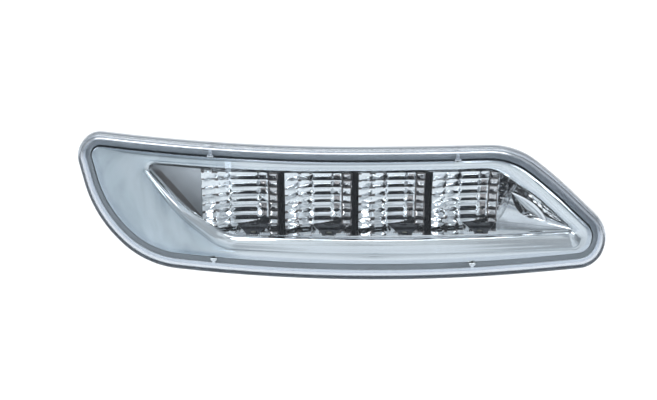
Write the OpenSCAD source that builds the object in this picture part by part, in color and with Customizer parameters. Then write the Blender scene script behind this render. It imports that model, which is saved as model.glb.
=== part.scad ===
/* [Outer lens] */
// Depth of the whole lamp from the crown of the lens to the mounting plane
depth_total = 52; // [50:0.5:56]
// Radius of the bow of the lens and of all that follows it
bow_r = 650; // [500:10:1500]
// Wall of the clear lens
lens_wall = 2.4; // [1.8:0.1:2.8]
// Height of the lens skirt, crown to rear edge
skirt_h = 10; // [8:0.5:11]
// How far the rounded rim of the lens reaches in from its outline
rim_round = 6; // [4:0.5:6.5]
// Fewest steps on each rounded corner of the outline
corner_steps = 6; // [4:1:8]
// Longest step along the outline
edge_step = 10; // [8:1:20]

/* [Seal and rim] */
// Thickness of the seal bead under the skirt
seal_h = 0.6; // [0.4:0.1:1]
// Gap kept between glued or nested pieces
nest_gap = 0.05; // [0.03:0.01:0.1]
// Thickness of the housing rim under the seal
rim_h = 2.6; // [2:0.1:3.5]
// How far the housing rim stands in from the lens outline
rim_inset = 0.3; // [0.1:0.1:0.6]

/* [Housing] */
// Wall of the housing
shell_wall = 2.4; // [2:0.1:3]
// Inset of the tub walls from the lens outline
tub_inset = 3.2; // [2.6:0.1:3.4]
// How far the top wall of the tub leans in towards the back
tub_lean = 5.8; // [5:0.2:6.2]
// Depth of the shallow ends of the tub
tub_d = 40; // [39.5:0.5:41]
// Depth of the deep middle of the tub
deep_d = 48; // [47.5:0.5:49]
// Left side of the deep middle
deep_left = -69; // [-71:0.5:-68.5]
// Right side of the deep middle
deep_right = 92; // [91:0.5:93]
// Top of the deep middle
deep_top = 12; // [11:0.5:13]
// Bottom of the deep middle
deep_bottom = -31.6; // [-32:0.2:-31]
// Corner radius of the deep middle
deep_corner = 6; // [4:0.5:8]
// Thickness of the stiffening ribs on the back
rib_w = 2; // [1.6:0.2:3]

/* [Mounting studs] */
// Distance between the two studs
stud_pitch = 110; // [104:1:116]
// Diameter of each stud
stud_d = 5; // [4:0.5:6]
// Length of stud that stands out of the mounting plane
stud_out = 16; // [12:1:20]
// Diameter of each mounting boss
boss_d = 18; // [16:0.5:20]
// Width across the flats of the stud head
stud_flats = 8; // [7:0.5:9]
// Thickness of the stud head
stud_head_h = 3; // [2.5:0.5:3.5]
// Clearance of the stud and its head in the boss
stud_gap = 0.1; // [0.05:0.01:0.15]
// Undercut of the stud where it passes through the boss
stud_neck = 0.2; // [0.1:0.05:0.3]

/* [Wiring socket] */
// Position of the socket along the lamp
socket_x = 18; // [10:1:26]
// Height of the socket centre
socket_z = -24.6; // [-25:0.1:-24]
// Outer width of the socket shroud
socket_w = 21; // [19:0.5:23]
// Outer height of the socket shroud
socket_h = 13; // [12:0.5:13.5]
// Wall of the socket shroud
socket_wall = 1.8; // [1.5:0.1:2]
// How far the shroud stands out of the back
socket_out = 14; // [13:0.5:16]
// Distance between the two terminals
pin_pitch = 6; // [5:0.5:7]
// Width of each terminal blade
pin_w = 2.4; // [2:0.1:2.8]
// Thickness of each terminal blade
pin_t = 0.8; // [0.6:0.1:1]
// How far each terminal reaches into the socket
pin_out = 8; // [7:0.5:9]

/* [Bezel] */
// Inset of the bezel from the lens outline
bezel_inset = 6.5; // [6.2:0.1:6.8]
// Thickness of the bezel
bezel_t = 1.6; // [1.4:0.1:1.8]
// Depth of the bezel face behind the crown of the lens
bezel_d = 8; // [7.5:0.1:8.4]
// Depth of the lip of the leaf-shaped opening
lip_d = 11; // [10.5:0.1:11.4]
// Depth of the back edge of the lip
lip_back = 13.6; // [13:0.1:14]

/* [Reflector] */
// Left end of the reflector
ref_x0 = -67; // [-67.4:0.1:-66.6]
// Top of the chrome shelf, the floor of every cell
shelf_z = -18.9; // [-19.1:0.1:-18.7]
// Height of the reflector above the shelf
ref_h = 31; // [29:0.5:31.5]
// Room between the middle of each cell and the back wall of the housing
ref_room = 8.1; // [7.6:0.1:10.6]
// Depth of the top edge of the reflector
ref_top_d = 15.2; // [14.8:0.1:16]
// Focal length of a cell from side to side
ref_focus = 20; // [16:1:28]
// Width of a wide pillow on the left of a cell
pillow_a = 6.6; // [6.4:0.1:6.7]
// Width of a narrow pillow on the right of a cell
pillow_b = 4.7; // [4.5:0.1:4.8]
// Width of the fluted column
flute_w = 9.5; // [9.2:0.1:9.6]
// Width of the fluted column of the first cell
flute_first = 14; // [13.5:0.1:14.2]
// Width of the dark groove between two cells
groove_w = 3.3; // [3:0.1:3.4]
// Depth of that groove
groove_d = 5; // [3:0.5:5.5]
// Rows of pillows from shelf to top
ref_rows = 7; // [5:1:8]
// Step from each row of pillows to the next
row_step = 2.2; // [1:0.1:2.4]
// Rise of each pillow
pillow_rise = 0.6; // [0.3:0.1:0.8]
// Rise of each flute
flute_rise = 0.7; // [0.3:0.1:0.9]
// Thickness of the reflector
ref_t = 1.8; // [1.4:0.1:2]

/* [Light source] */
// Distance from one light to the next
led_pitch = 36.5; // [36:0.1:36.8]
// Position of the first light
led_x0 = -42.5; // [-43:0.1:-42]
// Depth of the lights
led_d = 25.5; // [24:0.5:27]
// Side of each light
led_side = 3.5; // [2.8:0.1:4]
// Thickness of the shelf
shelf_t = 1.6; // [1.4:0.1:1.8]
// Gap between shelf and circuit board
board_gap = 0.8; // [0.6:0.1:1]
// Thickness of the circuit board
board_t = 1.6; // [1.2:0.1:1.6]
// Rear width of each trapezoid window
window_rear = 16; // [14:0.5:17]
// Front width of each trapezoid window
window_front = 6.2; // [5:0.2:8]

/* [Hidden] */
eps = 0.01;
fine = 720;
tall = 120;
crown_y = -depth_total;
led_n = 4;
board_top = shelf_z - shelf_t - board_gap;
board_bot = board_top - board_t;
back_wall = deep_d - shell_wall;
tub_floor = tub_d - shell_wall;
ref_d = back_wall - ref_room;
shelf_room = 2;
shelf_rear = back_wall - shelf_room;
board_rear = shelf_rear - 0.2;
board_edge = 3.4;
board_rim = 2.8;
floor_room = 1.1;
cheek_room = 2;
rim_front = skirt_h + seal_h;
tub_straight = 1.5;
latch_w = 5;
latch_h = 1.4;
latch_l = 3.6;
latch_at = 4.5;
tub_inner = tub_inset + shell_wall;
cell_n = 4;
rib_rise = 1.6;
stud_lead = 1;
post_r = 3.2;
screw_r = 1.2;
head_r = 2.4;
ear_d = 27;
ear_t = 2.4;
ear_at = [[-76, -21.8], [92, -24.2]];
ear_w = 8;
seal_edge = 0.4;
long_rib_z = 4;
short_rib_x = [-102, -86, 100];
short_rib_z = -6;
short_rib_h = 22;
shelf_x1 = 112;
shelf_near = 5;
shelf_side = 27;
shelf_bend = 90;
cheek_tip = [-95, 17];
cheek_top = 14.6;
cheek_t = 1.2;
cheek_end = 112.5;
cheek_edge = [[77, 15.6], [94, 1.5], [112.5, -17.6]];
cheek_back = [-0.9, 1.1, 0];
head_sink = 2;
driver_d = 33;
can_d = 6.3;
can_h = 5.4;
clip_w = 3.4;
clip_d = 6.4;
vent_x = -28;
vent_z = -18;
vent_r = 4;

// Corners of the lens outline, seen from the front, clockwise from the top left: x, z, radius
lens_corners = [
  [-128.9, 31.8, 11], [-46, 25.5, 1500], [83, 25.6, 38], [104, 8.2, 200],
  [128.7, -16.4, 15], [123.7, -34.8, 13], [7, -40.1, 1300], [-94, -32.4, 44], [-118.5, -9, 60]
];
// Corners of the crease on the bezel face
crease_corners = [
  [-98, 19, 4], [-45, 16.4, 1400], [79.5, 17, 24], [97, 0.8, 120],
  [116.5, -18.8, 5], [113.6, -25.8, 4.5], [12, -26.2, 1800], [-58, -24, 22], [-79, -7, 70]
];
// Corners of the leaf-shaped opening
leaf_corners = [
  [-93.5, 15.8, 2.2], [-45, 12.4, 1000], [74.5, 13.2, 22], [91.5, 0, 80],
  [111, -18.2, 1.2], [109.4, -19.6, 1.2], [15, -20.2, 1800], [-55, -18.9, 20], [-75, -5, 70]
];

function unit2(v) = v / norm(v);
function cross2(a, b) = a[0] * b[1] - a[1] * b[0];
function xz(p) = [p[0], p[1]];
// Depth from the crown at a place x for a surface set back by s along the bow
function bowed(x, s) = bow_r - sqrt((bow_r - s) * (bow_r - s) - x * x);

// Points of one rounded corner; out moves them away from the middle of the shape
function corner(p0, p1, p2, r, out, steps) =
  let (a = unit2(p0 - p1), b = unit2(p2 - p1), half = acos(a * b) / 2,
       c = p1 + unit2(a + b) * (r / sin(half)),
       t1 = p1 + a * (r / tan(half)) - c, turn = 180 - 2 * half,
       s = cross2(p1 - p0, p2 - p1) < 0 ? -1 : 1, a1 = atan2(t1[1], t1[0]), rr = r - s * out)
  [for (k = [0:steps]) c + rr * [cos(a1 + s * turn * k / steps), sin(a1 + s * turn * k / steps)]];

// Steps on each corner, taken from the lens outline so that every ring has as many
arc_steps = [for (i = [0:len(lens_corners) - 1])
  let (n = len(lens_corners), b = xz(lens_corners[i]),
       u = unit2(b - xz(lens_corners[(i + n - 1) % n])), v = unit2(xz(lens_corners[(i + 1) % n]) - b))
  max(corner_steps, ceil(lens_corners[i][2] * acos(u * v) * PI / 180 / edge_step))];
function corner_of(q, i, out) =
  let (n = len(q)) corner(xz(q[(i + n - 1) % n]), xz(q[i]), xz(q[(i + 1) % n]), q[i][2], out, arc_steps[i]);

// Steps on each straight stretch, in the same way
steps_of = [for (i = [0:len(lens_corners) - 1])
  let (a = corner_of(lens_corners, i, 0), b = corner_of(lens_corners, (i + 1) % len(lens_corners), 0))
  max(1, ceil(norm(b[0] - a[arc_steps[i]]) / edge_step))];

function ring2(q, out) =
  [for (i = [0:len(q) - 1])
    let (a = corner_of(q, i, out), b = corner_of(q, (i + 1) % len(q), out),
         m = steps_of[i], e = a[arc_steps[i]])
    each concat(a, [for (k = [1:1:m - 1]) e + (b[0] - e) * k / m])];

// A ring of the outline set out by out and back by s, in the row frame
function ring3(q, out, s) = [for (p = ring2(q, out)) [p[0], crown_y + bowed(p[0], s), p[1]]];

ring_n = len(ring2(lens_corners, 0));
// Place on the ring where its top chain starts
lid_start = 3;

function flat(l) = [for (a = l) each a];
function band(k0, k1, n) =
  [for (i = [0:n - 1])
    let (a = k0 * n + i, b = k0 * n + (i + 1) % n, c = k1 * n + i, d = k1 * n + (i + 1) % n)
    each [[a, d, c], [a, b, d]]];
// Strip that closes a ring between its top chain and its bottom chain
function lid(k, n, first, up) =
  let (h = floor(n / 2), e = k * n + (first + h) % n)
  concat(
    [for (i = [0:h - 2])
      let (a = k * n + (first + i) % n, b = k * n + (first + i + 1) % n,
           c = k * n + (first + 2 * n - 1 - i) % n, d = k * n + (first + 2 * n - 2 - i) % n)
      each (up ? [[a, b, c], [b, d, c]] : [[a, c, b], [b, c, d]])],
    n == 2 * h ? [] :
      let (b = k * n + (first + h - 1) % n, d = k * n + (first + h + 1) % n) [up ? [b, e, d] : [b, d, e]]);

module along_y(d0, d1) {
  translate([0, crown_y + d1, 0])
    rotate([90, 0, 0])
      linear_extrude(d1 - d0)
        children();
}

module outline(inset) {
  polygon(ring2(lens_corners, -inset));
}

// Everything behind the surface set back by s along the bow
module behind(s) {
  translate([0, crown_y + bow_r, -tall / 2])
    cylinder(r = bow_r - s, h = tall, $fn = fine);
}

module y_cylinder(x, z, d0, d1, r, sides) {
  translate([x, crown_y + d1, z])
    rotate([90, 0, 0])
      cylinder(r = r, h = d1 - d0, $fn = sides);
}

module y_box(x, z, w, h, d0, d1) {
  translate([x - w / 2, crown_y + d0, z - h / 2])
    cube([w, d1 - d0, h]);
}

module rounded(w, h, r) {
  hull()
    for (sx = [-1, 1], sz = [-1, 1])
      translate([sx * (w / 2 - r), sz * (h / 2 - r)])
        circle(r = r, $fn = 32);
}

module outer_lens() {
  w = lens_wall;
  profile = [
    [0, skirt_h - nest_gap], [0, 4.4], [-0.5, 2.4], [-1.8, 0.9], [-3.7, 0.2], [-rim_round, 0],
    [-rim_round - 0.4, w], [-4.4, w + 0.4], [-3, w + 1.4], [-w, w + 3], [-w, skirt_h - nest_gap]
  ];
  n = ring_n;
  m = len(profile);
  points = flat([for (p = profile) ring3(lens_corners, p[0], p[1])]);
  faces = concat(
    flat([for (k = [0:m - 1]) if (k != 5) band(k, (k + 1) % m, n)]),
    lid(5, n, lid_start, true),
    lid(6, n, lid_start, false));
  color([0.8, 0.86, 0.92, 0.35]) polyhedron(points, faces, convexity = 8);
}

module lens_seal() {
  color([0.25, 0.26, 0.28])
    intersection() {
      difference() {
        along_y(0, tub_d) outline(seal_edge);
        along_y(-1, tub_d + 1) outline(lens_wall);
      }
      difference() {
        behind(skirt_h);
        behind(rim_front - nest_gap);
      }
    }
}

module socket_shroud() {
  translate([socket_x, crown_y + deep_d + socket_out, socket_z])
    rotate([90, 0, 0])
      linear_extrude(socket_out + 1)
        rounded(socket_w, socket_h, 2.5);
}

// Ramp that the plug of the vehicle's harness snaps over
module socket_latch() {
  top = socket_z + socket_h / 2;
  translate([socket_x - latch_w / 2, crown_y + deep_d, 0])
    rotate([90, 0, 90])
      linear_extrude(latch_w)
        polygon([
            [latch_at, top - 0.5], [latch_at, top + latch_h],
            [latch_at + latch_l, top], [latch_at + latch_l, top - 0.5]
          ]);
}

// Outline of the tub at its back, where the top leans in and the bottom runs straight
function tub_ring(inset) = [for (p = ring2(lens_corners, -inset - tub_lean / 2)) p - [0, tub_lean / 2]];
function tub_back(inset, d) = [for (p = tub_ring(inset)) [p[0], crown_y + d, p[1]]];

// Solid of the tub: upright from the surface set back by s to just behind the rim, then leaning to the back
module tub(inset, s, back) {
  foot = rim_front + rim_h + tub_straight;
  rings = [tub_back(inset, back), ring3(lens_corners, -inset, foot), ring3(lens_corners, -inset, s)];
  color([0.72, 0.74, 0.76])
    polyhedron(flat(rings), convexity = 4,
      faces = concat(
        band(0, 1, ring_n), band(1, 2, ring_n),
        lid(2, ring_n, lid_start, true), lid(0, ring_n, lid_start, false)));
}

module housing() {
  bx = stud_pitch / 2;
  color([0.72, 0.74, 0.76])
    difference() {
      union() {
        intersection() {
          along_y(0, tub_d) outline(rim_inset);
          difference() {
            behind(rim_front);
            behind(rim_front + rim_h);
          }
        }
        tub(tub_inset, rim_front + rim_h / 2, tub_d);
        deep_block(0, deep_d, 0);
        for (s = [-1, 1]) y_cylinder(s * bx, 0, deep_d - 1, depth_total, boss_d / 2, 48);
        for (z = [-long_rib_z, long_rib_z])
          y_box(0, z, stud_pitch - boss_d, rib_w, deep_d - 1, deep_d + rib_rise);
        intersection() {
          for (x = short_rib_x) y_box(x, short_rib_z, rib_w, short_rib_h, tub_d - 1, tub_d + rib_rise);
          along_y(tub_d - 2, tub_d + rib_rise) polygon(tub_ring(tub_inset + 1));
        }
        y_cylinder(vent_x, vent_z, deep_d - 1, deep_d + 3, vent_r, 48);
        socket_shroud();
        socket_latch();
      }
      difference() {
        tub(tub_inner, skirt_h / 2, tub_floor);
        for (e = ear_at) y_cylinder(e[0], e[1], ear_d + ear_t + nest_gap, tub_d, post_r, 32);
      }
      deep_block(1, deep_d - shell_wall, shell_wall);
      for (e = ear_at) y_cylinder(e[0], e[1], ear_d + 1, tub_d - 1, screw_r + nest_gap, 32);
      for (s = [-1, 1]) stud_pocket(s * bx);
      y_cylinder(vent_x, vent_z, deep_d - 4, deep_d + 4, vent_r - 1.6, 32);
      translate([socket_x, crown_y + deep_d + socket_out + 1, socket_z])
        rotate([90, 0, 0])
          linear_extrude(socket_out + 1)
            rounded(socket_w - 2 * socket_wall, socket_h - 2 * socket_wall, 1.5);
      for (s = [-1, 1])
        y_box(
          socket_x + s * pin_pitch / 2, socket_z,
          pin_w + 2 * nest_gap, pin_t + 2 * nest_gap, deep_d - 4, deep_d + 1);
    }
}

module deep_block(d0, d1, inset) {
  w = deep_right - deep_left - 2 * inset;
  h = deep_top - deep_bottom - 2 * inset;
  start = d0 == 0 ? tub_d - 1 : tub_d - shell_wall - 1;
  translate([(deep_left + deep_right) / 2, crown_y + d1, (deep_top + deep_bottom) / 2])
    rotate([90, 0, 0])
      linear_extrude(d1 - start)
        rounded(w, h, max(1.5, deep_corner - inset));
}

module stud_pocket(x) {
  top = deep_d + stud_head_h - head_sink + stud_gap;
  y_cylinder(x, 0, deep_d - 4, top, (stud_flats / 2 + stud_gap) / cos(30), 6);
  y_cylinder(x, 0, deep_d, depth_total + 1, stud_d / 2 + stud_gap, 48);
}

module stud(x) {
  top = deep_d + stud_head_h - head_sink;
  color([0.75, 0.75, 0.72]) {
    y_cylinder(x, 0, top - stud_head_h, top, stud_flats / 2 / cos(30), 6);
    y_cylinder(x, 0, top - 1, depth_total + eps, stud_d / 2 - stud_neck, 48);
    y_cylinder(x, 0, depth_total, depth_total + stud_out - stud_lead, stud_d / 2, 48);
    translate([x, depth_total + crown_y + stud_out - stud_lead, 0])
      rotate([-90, 0, 0])
        cylinder(r1 = stud_d / 2, r2 = stud_d / 2 - 0.8 * stud_lead, h = stud_lead, $fn = 48);
  }
}

module stud_left() {
  stud(-stud_pitch / 2);
}

module stud_right() {
  stud(stud_pitch / 2);
}

module terminal(s) {
  x = socket_x + s * pin_pitch / 2;
  color([0.8, 0.68, 0.35]) {
    y_box(x, socket_z, pin_w, pin_t, deep_d - shell_wall - 2, deep_d + pin_out - 1);
    y_box(x, socket_z, pin_w - 0.8, pin_t, deep_d + pin_out - 2, deep_d + pin_out);
  }
}

module terminal_left() {
  terminal(-1);
}

module terminal_right() {
  terminal(1);
}

// Short wire from the inner end of a terminal up to the board
module lead(s) {
  x = socket_x + s * pin_pitch / 2;
  bend = board_bot - socket_z - nest_gap;
  wire = 0.5;
  y0 = crown_y + deep_d - shell_wall - 2 - nest_gap;
  run = 1.2;
  color(s < 0 ? [0.1, 0.1, 0.1] : [0.7, 0.1, 0.08]) {
    translate([x, y0, socket_z])
      rotate([90, 0, 0])
        cylinder(r = wire, h = run, $fn = 24);
    translate([x, y0 - run, socket_z + bend])
      rotate([0, 0, 180])
        rotate([0, 90, 0])
          rotate_extrude(angle = 90, $fn = 48)
            translate([bend, 0])
              circle(r = wire, $fn = 24);
  }
}

module lead_left() {
  lead(-1);
}

module lead_right() {
  lead(1);
}

module vent_cap() {
  color([0.1, 0.1, 0.11])
    difference() {
      y_cylinder(vent_x, vent_z, deep_d + 0.4, deep_d + 3.9, vent_r + 1.4, 48);
      y_cylinder(vent_x, vent_z, deep_d, deep_d + 3 + nest_gap, vent_r + nest_gap, 48);
    }
}

module bezel() {
  i = bezel_inset;
  t = bezel_t;
  back = 13;
  rings = [
    ring3(lens_corners, -i, back), ring3(lens_corners, -i, bezel_d + 0.6),
    ring3(lens_corners, -i - 0.6, bezel_d), ring3(crease_corners, 0, bezel_d - 0.4),
    ring3(leaf_corners, 0, lip_d), ring3(leaf_corners, -0.3, lip_back),
    ring3(leaf_corners, t * 0.8, lip_back), ring3(leaf_corners, t, lip_d + t),
    ring3(crease_corners, 0, bezel_d - 0.4 + t * 1.15),
    ring3(lens_corners, -i - t, bezel_d + t), ring3(lens_corners, -i - t, back)
  ];
  m = len(rings);
  color([0.86, 0.88, 0.9])
    polyhedron(flat(rings), flat([for (k = [0:m - 1]) band(k, (k + 1) % m, ring_n)]), convexity = 8);
}

// Height of the lens outline at a place x, along its top for s above zero and its bottom below
function edge_z(s, x) =
  let (q = ring2(lens_corners, 0), n = len(q),
       z = [for (i = [0:n - 1]) let (a = q[i], b = q[(i + 1) % n])
         if ((a[0] - x) * (b[0] - x) <= 0 && a[0] != b[0]) a[1] + (b[1] - a[1]) * (x - a[0]) / (b[0] - a[0])])
  s > 0 ? max(z) : min(z);

// Small moulded clip between the bezel and the skirt of the lens
module clip(s, x) {
  z1 = edge_z(s, x) - s * (lens_wall + 0.4);
  z0 = edge_z(s, x) - s * (bezel_inset - 0.35);
  d0 = bowed(x, clip_d);
  color([0.88, 0.9, 0.92]) {
    y_box(x, (z0 + z1) / 2, clip_w * 0.45, abs(z1 - z0), d0 + 0.6, d0 + 2.8);
    intersection() {
      y_cylinder(x, z0, d0, d0 + 3.2, clip_w / 2, 32);
      y_box(x, z0 + s * 2, clip_w + 1, 4, d0 - 1, d0 + 4);
    }
  }
}

module clip_top_left() {
  clip(1, -62);
}

module clip_top_right() {
  clip(1, 55);
}

module clip_bottom_left() {
  clip(-1, -61);
}

module clip_bottom_right() {
  clip(-1, 62.5);
}

function led_x(c) = led_x0 + c * led_pitch;
// Columns of one cell: width and kind, 0 a pillow, 1 a flute, 2 a groove wall or groove floor
function cell_groups(c) =
  let (flute = c == 0 ? flute_first : flute_w,
       base = [[pillow_a, 0], [pillow_a, 0], [flute, 1], [pillow_b, 0], [pillow_b, 0]])
  c < cell_n - 1 ? concat(base, [[0.3, 2], [groove_w - 0.6, 2], [0.3, 2]]) : base;
groups = [for (c = [0:cell_n - 1])
  let (g = cell_groups(c)) for (k = [0:len(g) - 1]) [g[k][0], g[k][1], c, k]];
function start_of(i) = i == 0 ? ref_x0 : start_of(i - 1) + groups[i - 1][0];
function splits(kind) = kind == 0 ? [0, 0.25, 0.5, 0.75] : kind == 1 ? [0, 0.07, 0.93] : [0];
group_n = len(groups);
starts = [for (i = [0:group_n]) start_of(i)];
ref_x1 = starts[group_n];
// Cell that a column's curve belongs to, and how far a groove sets it back
function owner(g) =
  g >= group_n ? cell_n - 1 :
  groups[g][1] == 2 && groups[g][3] == 7 ? groups[g][2] + 1 : groups[g][2];
function set_back(g) = g < group_n && groups[g][1] == 2 && groups[g][3] > 5 ? groove_d : 0;
// Heights within a row; the last short stretch is the ledge that steps out to the next row
row_at = [0, 0.3, 0.6, 0.9];
row_sub = len(row_at);
wedge_ribs = 5;
wedge_rise = 0.8;
wedge_foot = 0.3;
wedge_near = 1.8;
wedge_far = 0.6;

function ref_base(x, c) = ref_d + bowed(led_x(c), 0) - (x - led_x(c)) * (x - led_x(c)) / (4 * ref_focus);
function ref_depth(x, c, w) = ref_base(x, c) * (1 - w * w) + bowed(x, ref_top_d) * w * w;
function row_z(r) = pow(r / ref_rows, 1.12);

columns = [for (g = [0:group_n - 1]) for (u = splits(groups[g][1]))
  [starts[g] + u * groups[g][0], owner(g), groups[g][1], u, u == 0 ? set_back(g) : 0]];
all_columns = concat(columns, [[ref_x1, cell_n - 1, 0, 0, 0]]);
group_first = [for (g = [0:group_n]) ref_count(g)];
function ref_count(g) = g == 0 ? 0 : ref_count(g - 1) + len(splits(groups[g - 1][1]));

function rise(kind, u, v) =
  kind == 0 ? pillow_rise * 16 * u * (1 - u) * v * (1 - v) :
  kind == 1 && u > 0 ? flute_rise * 4 * v * (1 - v) : 0;
// How far a row stands out at a height v within it: most at its foot, nothing under the ledge
function row_out(r, v, back) = r == ref_rows || back > 0 ? 0 : row_step * (1 - v / row_at[row_sub - 1]);

function ref_front(col, r, v) =
  let (w = row_z(r + v), s = v / row_at[row_sub - 1])
  [col[0], crown_y + ref_depth(col[0], col[1], w) + col[4] - rise(col[2], col[3], s) - row_out(r, v, col[4]),
   shelf_z + nest_gap + ref_h * w];
function ref_rear(g, r) =
  let (w = row_z(r), x = starts[g], a = 65 * r / ref_rows)
  [x, crown_y + ref_depth(x, owner(g), w) + set_back(g) + ref_t * cos(a),
   shelf_z + nest_gap + ref_h * w + ref_t * sin(a)];

module reflector() {
  nc = len(all_columns);
  nr = ref_rows * row_sub;
  ng = group_n + 1;
  base = nc * (nr + 1);
  points = concat(
    [for (j = [0:nr], col = all_columns) ref_front(col, floor(j / row_sub), row_at[j % row_sub])],
    [for (r = [0:ref_rows], g = [0:group_n]) ref_rear(g, r)]);
  faces = concat(
    [for (j = [0:nr - 1], i = [0:nc - 2])
      let (a = j * nc + i) each [[a, a + nc, a + nc + 1], [a, a + nc + 1, a + 1]]],
    [for (r = [0:ref_rows - 1], g = [0:group_n - 1]) let (a = base + r * ng + g)
      each [[a, a + ng + 1, a + ng], [a, a + 1, a + ng + 1]]],
    [for (g = [0:group_n - 1]) each concat(
      [for (i = [group_first[g]:group_first[g + 1] - 1]) [base + g, i, i + 1]],
      [[base + g, group_first[g + 1], base + g + 1]])],
    [for (g = [0:group_n - 1]) let (q = base + ref_rows * ng + g, f = nr * nc) each concat(
      [for (i = [group_first[g]:group_first[g + 1] - 1]) [q, f + i + 1, f + i]],
      [[q, q + 1, f + group_first[g + 1]]])],
    [for (r = [0:ref_rows - 1]) let (q = base + r * ng, k = (r + 1) * row_sub - 1) each concat(
      [for (j = [r * row_sub:k - 1]) [q, (j + 1) * nc, j * nc]],
      [[q, q + ng, k * nc], [q + ng, (k + 1) * nc, k * nc]])],
    [for (r = [0:ref_rows - 1])
      let (q = base + r * ng + group_n, e = nc - 1, k = (r + 1) * row_sub - 1) each concat(
      [for (j = [r * row_sub:k - 1]) [q, j * nc + e, (j + 1) * nc + e]],
      [[q, k * nc + e, q + ng], [q + ng, k * nc + e, (k + 1) * nc + e]])]);
  color([0.84, 0.86, 0.88]) polyhedron(points, faces, convexity = 12);
}

module z_slab(z0, z1) {
  translate([0, crown_y, z0])
    linear_extrude(z1 - z0)
      children();
}

module window(c) {
  x = led_x(c);
  near = bowed(x, lip_back + 0.5) + 1.6;
  far = ref_base(x, c) - row_step - 0.3;
  z_slab(shelf_z - shelf_t - 1, shelf_z + 1)
    polygon([
        [x - window_front / 2, near], [x + window_front / 2, near],
        [x + window_rear / 2, far], [x - window_rear / 2, far]
      ]);
}

// Ribbed wedge on the shelf on each side of a window, its ribs running back to a point
module wedge(c, side) {
  x = led_x(c);
  near = bowed(x, lip_back + 0.5) + wedge_near;
  far = ref_base(x, c) - row_step - wedge_far;
  function foot(u) = [x + side * (window_front / 2 + 0.3 + u * (window_rear - window_front) / 2), near];
  tip = [x + side * (window_rear / 2 + 0.2), far];
  n = 2 * wedge_ribs;
  low = shelf_z - wedge_foot;
  front = [for (k = [0:n])
    let (p = foot(k / n)) [p[0], crown_y + p[1], shelf_z + wedge_foot + (k % 2) * wedge_rise]];
  back = [for (k = [0:n])
    let (f = foot(k / n), p = f + (tip - f) * 0.92) [p[0], crown_y + p[1], shelf_z + wedge_foot]];
  points = concat(front, back, [for (p = concat(front, back)) [p[0], p[1], low]]);
  m = n + 1;
  sheet = [for (k = [0:n - 1]) each [[k, k + m, k + m + 1], [k, k + m + 1, k + 1]]];
  under = [for (f = sheet) [for (i = [2:-1:0]) f[i] + 2 * m]];
  ends = concat(
    [for (k = [0:n - 1]) each [[k, k + 1, k + 1 + 2 * m], [k, k + 1 + 2 * m, k + 2 * m]]],
    [for (k = [m:m + n - 1]) each [[k, k + 1 + 2 * m, k + 1], [k, k + 2 * m, k + 1 + 2 * m]]],
    [[0, 2 * m, 3 * m], [0, 3 * m, m], [n, n + m, n + 3 * m], [n, n + 3 * m, n + 2 * m]]);
  faces = concat(sheet, under, ends);
  polyhedron(points, side > 0 ? faces : [for (f = faces) [f[2], f[1], f[0]]], convexity = 6);
}

board_screw_x = [led_x0 + led_pitch / 2, led_x0 + 2.5 * led_pitch];
board_screw_d = board_rear - board_edge;

module reflector_shelf() {
  far = shelf_rear;
  mid = tub_floor - floor_room;
  left = ref_x0 + 0.8;
  color([0.82, 0.84, 0.87])
    difference() {
      union() {
        intersection() {
          z_slab(shelf_z - shelf_t, shelf_z)
            polygon([
                [left - 1.8, shelf_near], [shelf_x1, shelf_near], [shelf_x1, shelf_side], [shelf_bend, mid],
                [ref_x1, far], [left, far], [left, mid], [left - 1.8, mid]
              ]);
          behind(lip_back + 0.5);
        }
        ear(ear_at[0][0], ear_at[0][1], left + 0.2);
        ear(ear_at[1][0], ear_at[1][1], ear_at[1][0]);
        for (x = board_screw_x)
          translate([x, crown_y + board_screw_d, board_top + nest_gap])
            cylinder(r = 2.6, h = board_gap, $fn = 32);
        for (c = [0:led_n - 1], side = [-1, 1]) wedge(c, side);
      }
      for (c = [0:led_n - 1]) window(c);
      for (x = board_screw_x)
        translate([x, crown_y + board_screw_d, board_bot])
          cylinder(r = screw_r + nest_gap, h = shelf_z - 0.4 - board_bot, $fn = 32);
      for (e = ear_at) y_cylinder(e[0], e[1], ear_d - 1, ear_d + ear_t + 1, screw_r + nest_gap, 32);
    }
}

module ear(x, z, reach) {
  low = z - head_r - 0.4;
  y_box(x, (low + shelf_z) / 2, ear_w, shelf_z - low, ear_d, ear_d + ear_t);
  left = min(x - ear_w / 2, reach);
  right = max(x + ear_w / 2, reach);
  y_box((left + right) / 2, shelf_z - shelf_t / 2, right - left, shelf_t, ear_d, ear_d + ear_t);
}

// Smooth three-sided facet between the left tip of the opening and the reflector
module cheek_left() {
  x = ref_x0 - 0.1;
  q = [
    [cheek_tip[0], crown_y + bowed(cheek_tip[0], lip_back + 0.7), cheek_tip[1]],
    [x, crown_y + bowed(x, ref_top_d), cheek_top],
    [x, crown_y + ref_base(ref_x0, 0), shelf_z + nest_gap]
  ];
  color([0.84, 0.86, 0.88])
    polyhedron(concat(q, [for (p = q) p + cheek_back]),
      [[0, 1, 2], [3, 5, 4], [0, 3, 4], [0, 4, 1], [1, 4, 5], [1, 5, 2], [2, 5, 3], [2, 3, 0]]);
}

cheek_u = 8;
cheek_w = 5;
// Height of the edge of the opening above the right cheek at a place x
function diag_z(x) =
  let (k = x < cheek_edge[1][0] ? 0 : 1, a = cheek_edge[k], b = cheek_edge[k + 1])
  a[1] + (b[1] - a[1]) * (x - a[0]) / (b[0] - a[0]);
cheek_x0 = ref_x1 + 0.1;
cheek_deep = ref_base(ref_x1, cell_n - 1);
cheek_tip_d = bowed(cheek_end, lip_back + 1.2);
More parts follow.
